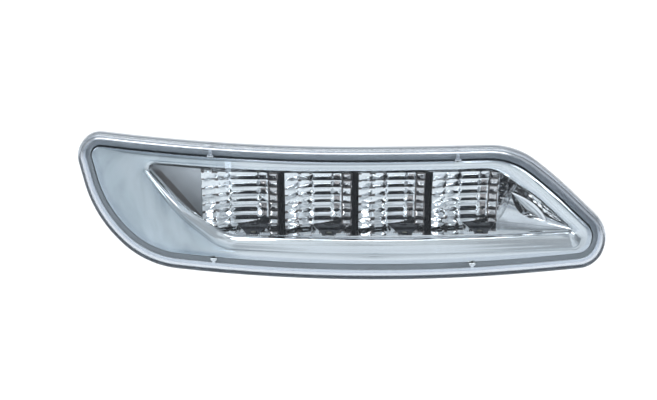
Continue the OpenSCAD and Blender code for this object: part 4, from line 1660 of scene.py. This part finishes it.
        # Painted brown reflection over the pillows that run onto the cheek.
        blank.slab(front, front + np.array(self.cheek_push), self.cheek_painted_brown_tint * held)
        for sheet in self.fin.sheets(self._cheek):
            blank.sheet(sheet)
        piece = blank.piece("right_cheek", sharp=30)
        self.dress(piece, ReflectorPlateAndPaintedShade(), Slot.REFLECTOR, "cheek_right")

    def build(self) -> None:
        """Build the sub-assembly."""
        self.reflector()
        self.keep("reflector_shelf", ReflectorPlateAndPaintedShade(), Slot.REFLECTOR)
        self.cheek_left()
        self.cheek_right()
        for node in ("trim_screw_left", "trim_screw_right"):
            self.keep(node, Metal(), Slot.SCREW)


@dataclass
class LightBoard(Assembly):
    """The circuit board with its four lights and the parts soldered under it."""

    lights: tuple[str, ...] = ("led_1", "led_2", "led_3", "led_4")
    case_corner: float = 0.3
    case_height: float = 0.8
    dome_share: float = 0.78
    dome_foot: float = 0.7
    dome_spring: float = 0.75
    dome_steps: int = 7
    dome_sides: int = 28
    pole: float = 0.02
    tin_share: float = 0.14

    def light(self, node: str) -> None:
        """Build and dress one light.

        Args:
            node: Construction node that it stands for.
        """
        lo, hi = lamp_box(node)
        middle, half = (lo + hi) / 2, (hi[0] - lo[0]) / 2
        case = rounded_box(2 * half, 2 * half, self.case_corner, 4) + middle[:2]
        blank = Blank()
        blank.prism(case, (lo[2], lo[2] + self.case_height), Axis.HEIGHT)
        reach, rise = half * self.dome_share, hi[2] - lo[2] - self.dome_spring
        profile = [(reach, lo[2] + self.dome_foot)]
        profile += [(reach * math.cos(a) + self.pole, lo[2] + self.dome_spring + rise * math.sin(a))
                    for a in np.linspace(0, QUARTER_TURN, self.dome_steps)]
        blank.tube(turned(middle[:2], profile, self.dome_sides, Axis.HEIGHT), tone=1.0)
        self.dress(blank.piece("light_" + node[-1], sharp=35), LightResin(), Slot.LED, node)

    def resistor(self, node: str) -> None:
        """Dress one resistor, with tinned ends.

        Args:
            node: Construction node that stays.
        """
        lo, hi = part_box(node)
        ends = (hi.x - lo.x) * self.tin_share
        left, right = round(lo.x + ends, 5), round(hi.x - ends, 5)
        self.keep(node, MouldedBlock((0.03, 0.03, 0.03), tin_left=left, tin_right=right), Slot.CHIP)

    def build(self) -> None:
        """Build the sub-assembly."""
        self.keep("circuit_board", CircuitResist(), Slot.BOARD)
        for node in self.lights:
            self.light(node)
        for node in ("regulator", "diode"):
            self.keep(node, MouldedBlock(), Slot.CHIP)
        for node in ("resistor_left", "resistor_right"):
            self.resistor(node)
        can = Metal((0.8, 0.81, 0.82), roughness=0.22, stretch=(1.0, 1.0, 0.1))
        self.keep("capacitor", can, Slot.CAN)
        for node in ("board_screw_left", "board_screw_right"):
            self.keep(node, Metal(), Slot.SCREW)
        self.keep("lead_left", SoftSleeve(), Slot.WIRE_BLACK)
        self.keep("lead_right", SoftSleeve((0.5, 0.03, 0.025)), Slot.WIRE_RED)


def disc(radius: float, sides: int = 48) -> Outliner:
    """Outline of a disc for any inset."""
    angles = np.linspace(0, -FULL_TURN, sides, endpoint=False)
    circle = np.stack([np.cos(angles), np.sin(angles)], axis=-1)
    return lambda inset: circle * (radius - inset)


def block(width: float, height: float, radius: float, least: float = 0.15) -> Outliner:
    """Outline of a box for any inset, with round corners of a least radius."""
    return lambda inset: rounded_box(width - 2 * inset, height - 2 * inset,
                                     max(radius - inset, least))


def hexagon(half_flats: float) -> Outliner:
    """Outline of a hexagon for any inset, from half its width across flats."""
    angles = np.linspace(0, -FULL_TURN, 6, endpoint=False)
    corners = np.stack([np.cos(angles), np.sin(angles)], axis=-1) / math.cos(math.pi / 6)
    return lambda inset: corners * (half_flats - inset)


def plug(outline: Outliner, span: Pair, round_off: float, centre: Pair,
         foot: float = 0.0) -> bpy.types.Object:
    """Make a solid to join to the housing or cut from it, rounded at its far edge.

    Args:
        outline: Gives the outline for an inset.
        span: Depths where it starts and ends.
        round_off: Radius of the far edge.
        centre: Where the outline is put.
        foot: Radius of the hollow round at its foot, none at 0.

    Returns:
        The solid.
    """
    start, end = span
    steps = [(-foot, start)]
    if foot:
        steps += [(-foot * (1 - math.sin(a)), start + SUNK + foot * (1 - math.cos(a)))
                  for a in np.linspace(0, QUARTER_TURN, 6)]
    steps += [(round_off * (1 - math.cos(a)), end - round_off + round_off * math.sin(a))
              for a in (np.linspace(0, QUARTER_TURN, 7) if round_off else [0.0])]
    blank = Blank()
    blank.tube([BOW.flat(outline(inset) + np.array(centre), depth) for inset, depth in steps])
    return blank.piece("tool", sharp=30)


@dataclass
class HousingAssembly(Assembly):
    """The moulded housing with its ribs, bosses, studs, wiring socket and vent."""

    rim_inset: float = 0.3
    rim_front: float = 10.6
    rim_back: float = 13.2
    rim_round: float = 0.3
    rim_edge: float = 0.4
    neck_round: float = 0.25
    wall: float = 2.4
    tub_inset: float = 3.2
    tub_lean: float = 5.8
    tub_foot: float = 14.7
    tub_depth: float = 40.0
    deep: tuple[float, float, float, float] = (-69.0, 92.0, -31.6, 12.0)
    deep_depth: float = 48.0
    deep_corner: float = 6.0
    deep_foot: float = 1.0
    deep_hollow_round: float = 1.0
    edge_round: float = 2.0
    hollow_round: float = 1.5
    fit: float = 0.1
    back: float = 52.0
    stud_x: float = 55.0
    stud_radius: float = 2.5
    head_half: float = 4.0
    head: tuple[Pair, ...] = ((0.5, 0.0), (0.0, 0.35), (0.0, 2.7), (0.4, 3.0))
    head_pocket: float = 1.1
    shaft_start: float = 2.4
    thread_pitch: float = 0.8
    thread_depth: float = 0.42
    thread_sides: int = 36
    thread_cuts: int = 9
    thread_start: float = 0.5
    thread_flank: Pair = (1.25, 0.12)
    stud_taper: Pair = (1.0, 0.8)
    boss_radius: float = 9.0
    boss_round: float = 0.8
    boss_foot: float = 0.8
    rib: float = 2.0
    rib_rise: float = 1.6
    rib_corner: float = 0.9
    rib_round: float = 0.4
    long_ribs: Pair = (-4.0, 4.0)
    short_ribs: tuple[float, ...] = (-102.0, -86.0, 100.0)
    short_rib_reach: Pair = (-17.0, 5.0)
    socket: Pair = (18.0, -24.6)
    socket_size: Pair = (21.0, 13.0)
    socket_corner: float = 2.5
    socket_round: float = 0.4
    socket_foot: float = 0.5
    socket_wall: float = 1.8
    mouth_corner: float = 1.5
    socket_out: float = 14.0
    latch_half: float = 2.5
    latch_start: float = 4.5
    latch: tuple[Pair, ...] = ((0, -0.5), (0, 1.2), (0.2, 1.4), (0.5, 1.35), (3.6, 0), (3.6, -0.5))
    pin_pitch: float = 6.0
    pin: Pair = (2.4, 0.8)
    pin_corner: float = 0.12
    slot_corner: float = 0.16
    blade_tip: tuple[tuple[float, float, float], ...] = ((0, 1, 1.2), (0.4, 1, 0.5), (0.55, 0.5, 0))
    vent: Pair = (-28.0, -18.0)
    vent_radius: float = 4.0
    vent_wall: float = 1.6
    vent_rise: float = 3.0
    vent_round: float = 0.3
    cap_hollow: float = 2.65
    cap_dimple: tuple[float, float, float] = (2.4, 2.1, 0.25)
    cap_ribs: int = 22
    cap_rib: float = 0.14
    cap_sides: int = 132
    cap_shy: float = 0.05
    cap_foot: Pair = (0.3, 0.25)
    cap_side: float = 1.0
    cap_crown: Pair = (0.95, 0.9)
    posts: tuple[Pair, ...] = ((-76.0, -21.8), (92.0, -24.2))
    post_radius: float = 3.2
    post_bore: float = 1.25
    post_floor: float = 1.2
    ear_back: float = 29.45
    pace: Pace = field(default_factory=lambda: LENS_OUTLINE.pace(edge_step=3.0, corner_steps=10))

    def _back_ring(self, inset: float) -> Points:
        """Outline of the tub at its back, where its top leans in."""
        half = self.tub_lean / 2
        return LENS_OUTLINE.ring(-inset - half, self.pace) - np.array([0, half])

    def _leaning(self, inset: float, depth: float, round_off: float, steps: int) -> list[Points]:
        """Rings of a leaning wall and of the round between it and the floor.

        Args:
            inset: Inset of the wall from the lens outline.
            depth: Depth of the floor.
            round_off: Radius of the round.
            steps: Rings on the round.

        Returns:
            The rings, from the front to the floor.
        """
        start = BOW.place(LENS_OUTLINE.ring(-inset, self.pace), self.tub_foot)
        corner = BOW.flat(self._back_ring(inset), depth)
        level = BOW.flat(self._back_ring(inset + round_off), depth)
        along = start - corner
        wall = corner + along * (round_off / np.linalg.norm(along, axis=1, keepdims=True))
        return [start, *(rounded(wall, corner, level, t) for t in np.linspace(0, 1, steps))]

    def _tub(self) -> bpy.types.Object:
        """Make the rim, the tub walls and the shallow floor.

        Returns:
            One closed shell.
        """
        inner, rim, foot = self.tub_inset + self.wall, self.rim_inset, self.tub_inset
        front, back = self.rim_front, self.rim_back
        r, edge, neck = self.rim_round, self.rim_edge, self.neck_round
        bowed = [(inner, front), (rim + r, front), (rim, front + r), (rim, back - edge),
                 (rim + edge, back), (foot + 2 * edge, back), (foot + neck, back + neck),
                 (foot, back + 2 * edge)]
        rings = [BOW.place(LENS_OUTLINE.ring(-i, self.pace), s) for i, s in bowed]
        rings += self._leaning(foot, self.tub_depth, self.edge_round, 7)
        hollow = self._leaning(inner, self.tub_depth - self.wall, self.hollow_round, 5)
        blank = Blank()
        blank.sheet(np.stack([*reversed(hollow), *rings]), wrap=True)
        blank.lid(rings[-1])
        blank.lid(hollow[-1])
        return blank.piece("moulded_housing", sharp=30)

    def _rib_span(self, x: float) -> Pair:
        """Find how far a short rib reaches on the tub's back.

        Args:
            x: Place of the rib along the lamp.

        Returns:
            Its lowest and its highest point.
        """
        ring = self._back_ring(self.tub_inset + 1)
        low, high = self.short_rib_reach
        for side in (x - self.rib / 2, x + self.rib / 2):
            a, b = ring, np.roll(ring, -1, axis=0)
            cross = (a[:, 0] > side) != (b[:, 0] > side)
            a, b = a[cross], b[cross]
            z = a[:, 1] + (side - a[:, 0]) * (b[:, 1] - a[:, 1]) / (b[:, 0] - a[:, 0])
            low, high = max(low, z.min()), min(high, z.max())
        return low, high

    def _latch(self) -> bpy.types.Object:
        """Make the ramp on the socket that the plug snaps over.

        Returns:
            The ramp, as a solid to join on.
        """
        x, z = self.socket
        level = BOW.crown_y + self.deep_depth + self.latch_start
        section = np.array(self.latch) + np.array([level, z + self.socket_size[1] / 2])
        ends = [np.insert(section, 0, x + side * self.latch_half, axis=1) for side in (-1, 1)]
        blank = Blank()
        blank.tube(ends)
        return blank.piece("tool", sharp=30)

    def _added(self) -> list[bpy.types.Object]:
        """Make what stands on the tub: deep part, bosses, ribs, spigot, socket and posts.

        Returns:
            The solids, in the order in which they are joined.
        """
        left, right, low, top = self.deep
        tub, deep = self.tub_depth, self.deep_depth
        middle = ((left + right) / 2, (low + top) / 2)
        body = block(right - left, top - low, self.deep_corner)
        solids = [plug(body, (tub - SUNK, deep), self.edge_round, middle, self.deep_foot)]
        boss, boss_span = disc(self.boss_radius), (deep - SUNK, self.back)
        solids += [plug(boss, boss_span, self.boss_round, (x, 0), self.boss_foot)
                   for x in (-self.stud_x, self.stud_x)]
        long_rib = block(2 * self.stud_x - 2 * self.boss_radius + BITE, self.rib, self.rib_corner)
        solids += [plug(long_rib, (deep - BITE, deep + self.rib_rise), self.rib_round, (0, z))
                   for z in self.long_ribs]
        for x in self.short_ribs:
            low, high = self._rib_span(x)
            short_rib = block(self.rib, high - low, self.rib_corner)
            centre = (x, (low + high) / 2)
            rise = (tub - BITE, tub + self.rib_rise)
            solids.append(plug(short_rib, rise, self.rib_round, centre))
        spigot, rise = disc(self.vent_radius), (deep - BITE, deep + self.vent_rise)
        solids.append(plug(spigot, rise, self.vent_round, self.vent))
        shroud = block(*self.socket_size, self.socket_corner)
        reach = (deep - SUNK, deep + self.socket_out)
        solids.append(plug(shroud, reach, self.socket_round, self.socket, self.socket_foot))
        solids.append(self._latch())
        return solids + [plug(disc(self.post_radius, 32), (self.ear_back, tub - BITE), 0.0, post)
                         for post in self.posts]

    def _cut_away(self) -> list[bpy.types.Object]:
        """Make what is cut from the housing: hollow, bores, pockets and pin slots.

        Returns:
            The solids, in the order in which they are cut.
        """
        left, right, low, top = self.deep
        tub, deep, wall = self.tub_depth, self.deep_depth, self.wall
        middle = ((left + right) / 2, (low + top) / 2)
        hollow = block(right - left - 2 * wall, top - low - 2 * wall, self.deep_corner - wall)
        reach = (tub - wall - BITE, deep - wall)
        solids = [plug(hollow, reach, self.deep_hollow_round, middle)]
        reach = (self.ear_back - BITE, tub - self.post_floor)
        solids += [plug(disc(self.post_bore, 32), reach, 0.0, post) for post in self.posts]
        pocket, bore = hexagon(self.head_half + self.fit), disc(self.stud_radius + self.fit)
        for x in (-self.stud_x, self.stud_x):
            solids.append(plug(pocket, (deep - THROUGH, deep + self.head_pocket), 0.0, (x, 0)))
            solids.append(plug(bore, (deep, self.back + BITE), 0.0, (x, 0)))
        bore = disc(self.vent_radius - self.vent_wall, 32)
        solids.append(plug(bore, (deep - THROUGH, deep + THROUGH), 0.0, self.vent))
        width, height = self.socket_size
        walls = 2 * self.socket_wall
        mouth = block(width - walls, height - walls, self.mouth_corner)
        solids.append(plug(mouth, (deep, deep + self.socket_out + BITE), 0.0, self.socket))
        slot = block(self.pin[0] + self.fit, self.pin[1] + self.fit, self.slot_corner)
        (x, z), half = self.socket, self.pin_pitch / 2
        return solids + [plug(slot, (deep - THROUGH, deep + BITE), 0.0, (pin_x, z))
                         for pin_x in (x - half, x + half)]

    def housing(self) -> None:
        """Build and dress the housing."""
        tub = self._tub()
        combine(tub, [(Join.ADD, solid) for solid in self._added()])
        combine(tub, [(Join.CUT, solid) for solid in self._cut_away()])
        tub.data.shade_smooth()
        tub.data.set_sharp_from_angle(angle=math.radians(28))
        self.dress(tub, GrainedPlastic(), Slot.HOUSING, "housing")

    def stud(self, node: str, x: float) -> None:
        """Build and dress one threaded stud.

        Args:
            node: Construction node that it stands for.
            x: Place along the lamp.
        """
        lo, hi = lamp_box(node)
        start, end, boss = lo[1], hi[1], self.back + BOW.crown_y
        pitch, thread = self.thread_pitch, boss - self.thread_start
        head = hexagon(self.head_half)
        blank = Blank()
        blank.tube([Axis.DEPTH.place(head(inset) + np.array([x, 0]), start + level)
                    for inset, level in self.head])
        cuts = np.arange(thread, end - 0.05, pitch / self.thread_cuts)
        levels = np.concatenate([[start + self.shaft_start, thread - 0.1], cuts, [end]])
        angles = np.linspace(0, FULL_TURN, self.thread_sides, endpoint=False)
        (slope, flat), (taper_length, taper_slope) = self.thread_flank, self.stud_taper
        shaft = []
        for level in levels:
            phase = (level / pitch - angles / FULL_TURN) % 1.0
            depth = self.thread_depth * np.clip(slope * np.abs(2 * phase - 1) - flat, 0, 1)
            depth = depth * float(smooth((level - thread) / pitch))
            taper = max(0.0, level - (end - taper_length)) * taper_slope
            radius = np.minimum(self.stud_radius - depth, self.stud_radius - taper)
            circle = np.stack([x + radius * np.cos(angles), radius * np.sin(angles)], axis=-1)
            shaft.append(Axis.DEPTH.place(circle, level))
        blank.tube(shaft)
        finish = Metal((0.74, 0.73, 0.69))
        self.dress(blank.piece(node + "_threaded", sharp=38), finish, Slot.STUD, node)

    def terminal(self, node: str, x: float) -> None:
        """Build and dress one terminal blade.

        Args:
            node: Construction node that it stands for.
            x: Place along the lamp.
        """
        lo, hi = lamp_box(node)
        half, thick = (size / 2 for size in self.pin)
        tip = [(half - inset, thick * share, hi[1] - back) for inset, share, back in self.blade_tip]
        centre = np.array([x, self.socket[1]])
        blank = Blank()
        blank.tube([Axis.DEPTH.place(rounded_box(2 * w, 2 * t, self.pin_corner, 3) + centre, level)
                    for w, t, level in [(half, thick, lo[1]), *tip]])
        finish = Metal((0.83, 0.74, 0.5), roughness=0.2)
        self.dress(blank.piece(node + "_blade", sharp=35), finish, Slot.TERMINAL, node)

    def cap(self) -> None:
        """Build and dress the rubber cap of the vent."""
        lo, hi = lamp_box("vent_cap")
        middle = ((lo[0] + hi[0]) / 2, (lo[2] + hi[2]) / 2)
        reach, start, end = (hi[0] - lo[0]) / 2, lo[1], hi[1]
        bore, top = self.vent_radius + self.cap_shy, start + self.cap_hollow
        side, side_end, pole = reach - self.cap_shy, end - self.cap_side, 0.02
        (foot_in, foot_up), (wide, tall) = self.cap_foot, self.cap_crown
        dimple, dimple_floor, sunk = self.cap_dimple
        outside = [(bore, start), (reach - foot_in, start)]
        outside += [(side, start + foot_up), (side, side_end)]
        outside += [(side - wide + wide * math.cos(a), end - tall + tall * math.sin(a))
                    for a in np.linspace(0.2, QUARTER_TURN, 6)]
        outside += [(dimple, end), (dimple_floor, end - sunk), (pole, end - sunk)]
        bored = [(bore, start), (bore, top), (pole, top)]

        def ribbed(angles: Points, radius: float, level: float) -> Points:
            """Cut finger ribs into the side of the cap."""
            on_side = radius > bore and level <= side_end
            return -self.cap_rib * (0.5 + 0.5 * np.cos(self.cap_ribs * angles)) * float(on_side)

        blank = Blank()
        for profile, ripple in ((outside, ribbed), (bored, None)):
            grid = turned(middle, profile, self.cap_sides, Axis.DEPTH, ripple)
            blank.sheet(grid, wrap=True)
            blank.lid(grid[-1])
        self.dress(blank.piece("vent_cap_ribbed", sharp=35), SoftSleeve(), Slot.VENT, "vent_cap")

    def build(self) -> None:
        """Build the sub-assembly."""
        self.housing()
        self.stud("stud_left", -self.stud_x)
        self.stud("stud_right", self.stud_x)
        self.terminal("terminal_left", self.socket[0] - self.pin_pitch / 2)
        self.terminal("terminal_right", self.socket[0] + self.pin_pitch / 2)
        self.cap()


@dataclass(frozen=True)
class PhotoFrame:
    """How the picture's frame lies on the lamp."""

    width_px: int = 657
    middle_px: float = 328.5
    middle_row: float = 200.0
    zero_px: float = 341.5
    zero_row: float = 205.0
    mm_per_px: float = 0.4744
    elevation: float = 15.0
    plane_depth: float = 8.0
    distance: float = 1150.0

    def target(self) -> Vector:
        """Find the point of the lamp at the middle of the picture.

        Returns:
            The point, in millimetres.
        """
        e = math.radians(self.elevation)
        across = (self.middle_px - self.zero_px) * self.mm_per_px
        up = (self.zero_row - self.middle_row) * self.mm_per_px
        z = (up - self.plane_depth * math.sin(e)) / math.cos(e)
        return Vector((across, BOW.crown_y + self.plane_depth, z))

    def lens(self, sensor: float) -> float:
        """Focal length that makes the picture as wide as the frame."""
        return sensor * self.distance / (self.width_px * self.mm_per_px)


@dataclass(frozen=True)
class Softbox:
    """One soft light: its place and size in metres, its power in watts and its colour."""

    name: str
    place: tuple[float, float, float]
    size: Pair
    power: float
    colour: Colour = (1.0, 1.0, 1.0)

    def hang(self) -> None:
        """Hang the light, facing the lamp, or straight down where it hangs behind it."""
        data = bpy.data.lights.new(self.name, "AREA")
        data.shape = "RECTANGLE"
        data.size, data.size_y = self.size
        data.energy = self.power
        data.color = self.colour
        obj = bpy.data.objects.new(self.name, data)
        obj.location = self.place
        obj.rotation_mode = "QUATERNION"
        facing = Vector((0, 0, -1)) if self.place[1] > 0 else Vector([-v for v in self.place])
        obj.rotation_quaternion = facing.to_track_quat("-Z", "Y")
        bpy.context.scene.collection.objects.link(obj)


@dataclass
class Studio:
    """Floor, lights, surroundings and camera."""

    floor_below: float = 400.0
    floor_half: float = 30000.0
    picture: PhotoFrame = field(default_factory=PhotoFrame)
    heights: tuple[tuple[float, Colour], ...] = (
        (0.0, (0.50, 0.54, 0.58)), (0.48, (0.50, 0.54, 0.58)), (0.52, (0.42, 0.45, 0.48)),
        (0.60, (0.52, 0.55, 0.59)), (0.72, (0.72, 0.75, 0.79)), (1.0, (0.86, 0.88, 0.90)),
    )
    softboxes: tuple[Softbox, ...] = (
        Softbox("overhead", (0.0, -0.5, 1.5), (0.9, 0.5), 7),
        Softbox("left_front", (-1.3, -1.1, 0.5), (0.3, 0.9), 4),
        Softbox("right_front", (1.3, -1.0, 0.7), (0.25, 0.9), 3),
        Softbox("behind", (0.0, 2.0, 1.6), (1.8, 1.4), 30),
        Softbox("strip", (-0.243, -0.95, -0.2115), (0.013, 0.045), 0.013, (0.86, 0.93, 1.0)),
    )

    def floor(self) -> None:
        """Lay the floor."""
        h, z = self.floor_half, -self.floor_below
        blank = Blank()
        blank.sheet(np.array([[[-h, -h, z], [h, -h, z]], [[-h, h, z], [h, h, z]]]))
        obj = blank.piece("studio_floor")
        obj.data.materials.append(PaleFloor().material())

    def camera(self) -> None:
        """Place the camera at the picture's viewing angle."""
        data = bpy.data.cameras.new("camera")
        data.sensor_width = 36.0
        data.lens = self.picture.lens(data.sensor_width)
        data.clip_start, data.clip_end = 0.05, 100.0
        obj = bpy.data.objects.new("camera", data)
        e = math.radians(self.picture.elevation)
        back = Vector((0, -math.cos(e), math.sin(e)))
        obj.location = (self.picture.target() + back * self.picture.distance) * MM
        obj.rotation_mode = "QUATERNION"
        obj.rotation_quaternion = (-back).to_track_quat("-Z", "Y")
        bpy.context.scene.collection.objects.link(obj)
        bpy.context.scene.camera = obj

    def _heights(self, room: Nodes) -> Socket:
        """Colour of the room by height.

        Args:
            room: The nodes of the surroundings.

        Returns:
            The colour.
        """
        level = room.add("ShaderNodeSeparateXYZ", {0: room.where}).outputs["Z"]
        ramp = room.add("ShaderNodeValToRGB", {0: room.span(level, (-1.0, 1.0))})
        stops = ramp.color_ramp.elements
        while len(stops) < len(self.heights):
            stops.new(0.5)
        for stop, (at, colour) in zip(stops, self.heights):
            stop.position = at
            stop.color = (*colour, 1.0)
        return ramp.outputs[0]

    def surroundings(self) -> None:
        """Paint what the plating mirrors: a bright room with soft grey patches."""
        world = bpy.data.worlds.new("studio")
        bpy.context.scene.world = world
        world.use_nodes = True
        world.node_tree.nodes.clear()
        room = Nodes(world.node_tree, "Generated")
        patches = room.span(room.noise(scale=2.6, detail=3), (0.42, 0.58), (0.6, 1.15))
        inputs = {0: self._heights(room), "Scale": patches}
        tinted = room.add("ShaderNodeVectorMath", inputs, operation="SCALE")
        seen = room.add("ShaderNodeLightPath", {}).outputs["Is Camera Ray"]
        colour = room.blend(seen, tinted.outputs[0], (1.0, 1.0, 1.0))
        light = room.add("ShaderNodeBackground", {"Color": colour})
        room.add("ShaderNodeOutputWorld", {"Surface": light.outputs[0]})

    def build(self) -> None:
        """Set up the studio."""
        self.floor()
        self.surroundings()
        for softbox in self.softboxes:
            softbox.hang()
        self.camera()
        bpy.context.scene.view_settings.view_transform = "Standard"
        log.info("studio is set")


def main() -> None:
    """Build the lamp, sub-assembly by sub-assembly, and then the studio."""
    logging.basicConfig(level=logging.INFO, format="%(name)s: %(message)s")
    parts = (HousingAssembly(), LensAssembly(), LightBoard(), ReflectorAssembly(), BezelAssembly())
    for part in parts:
        part.build()
        log.info("%s: %d pieces", type(part).__name__, len(part.made))
    Studio().build()


if __name__ == "__main__":
    main()
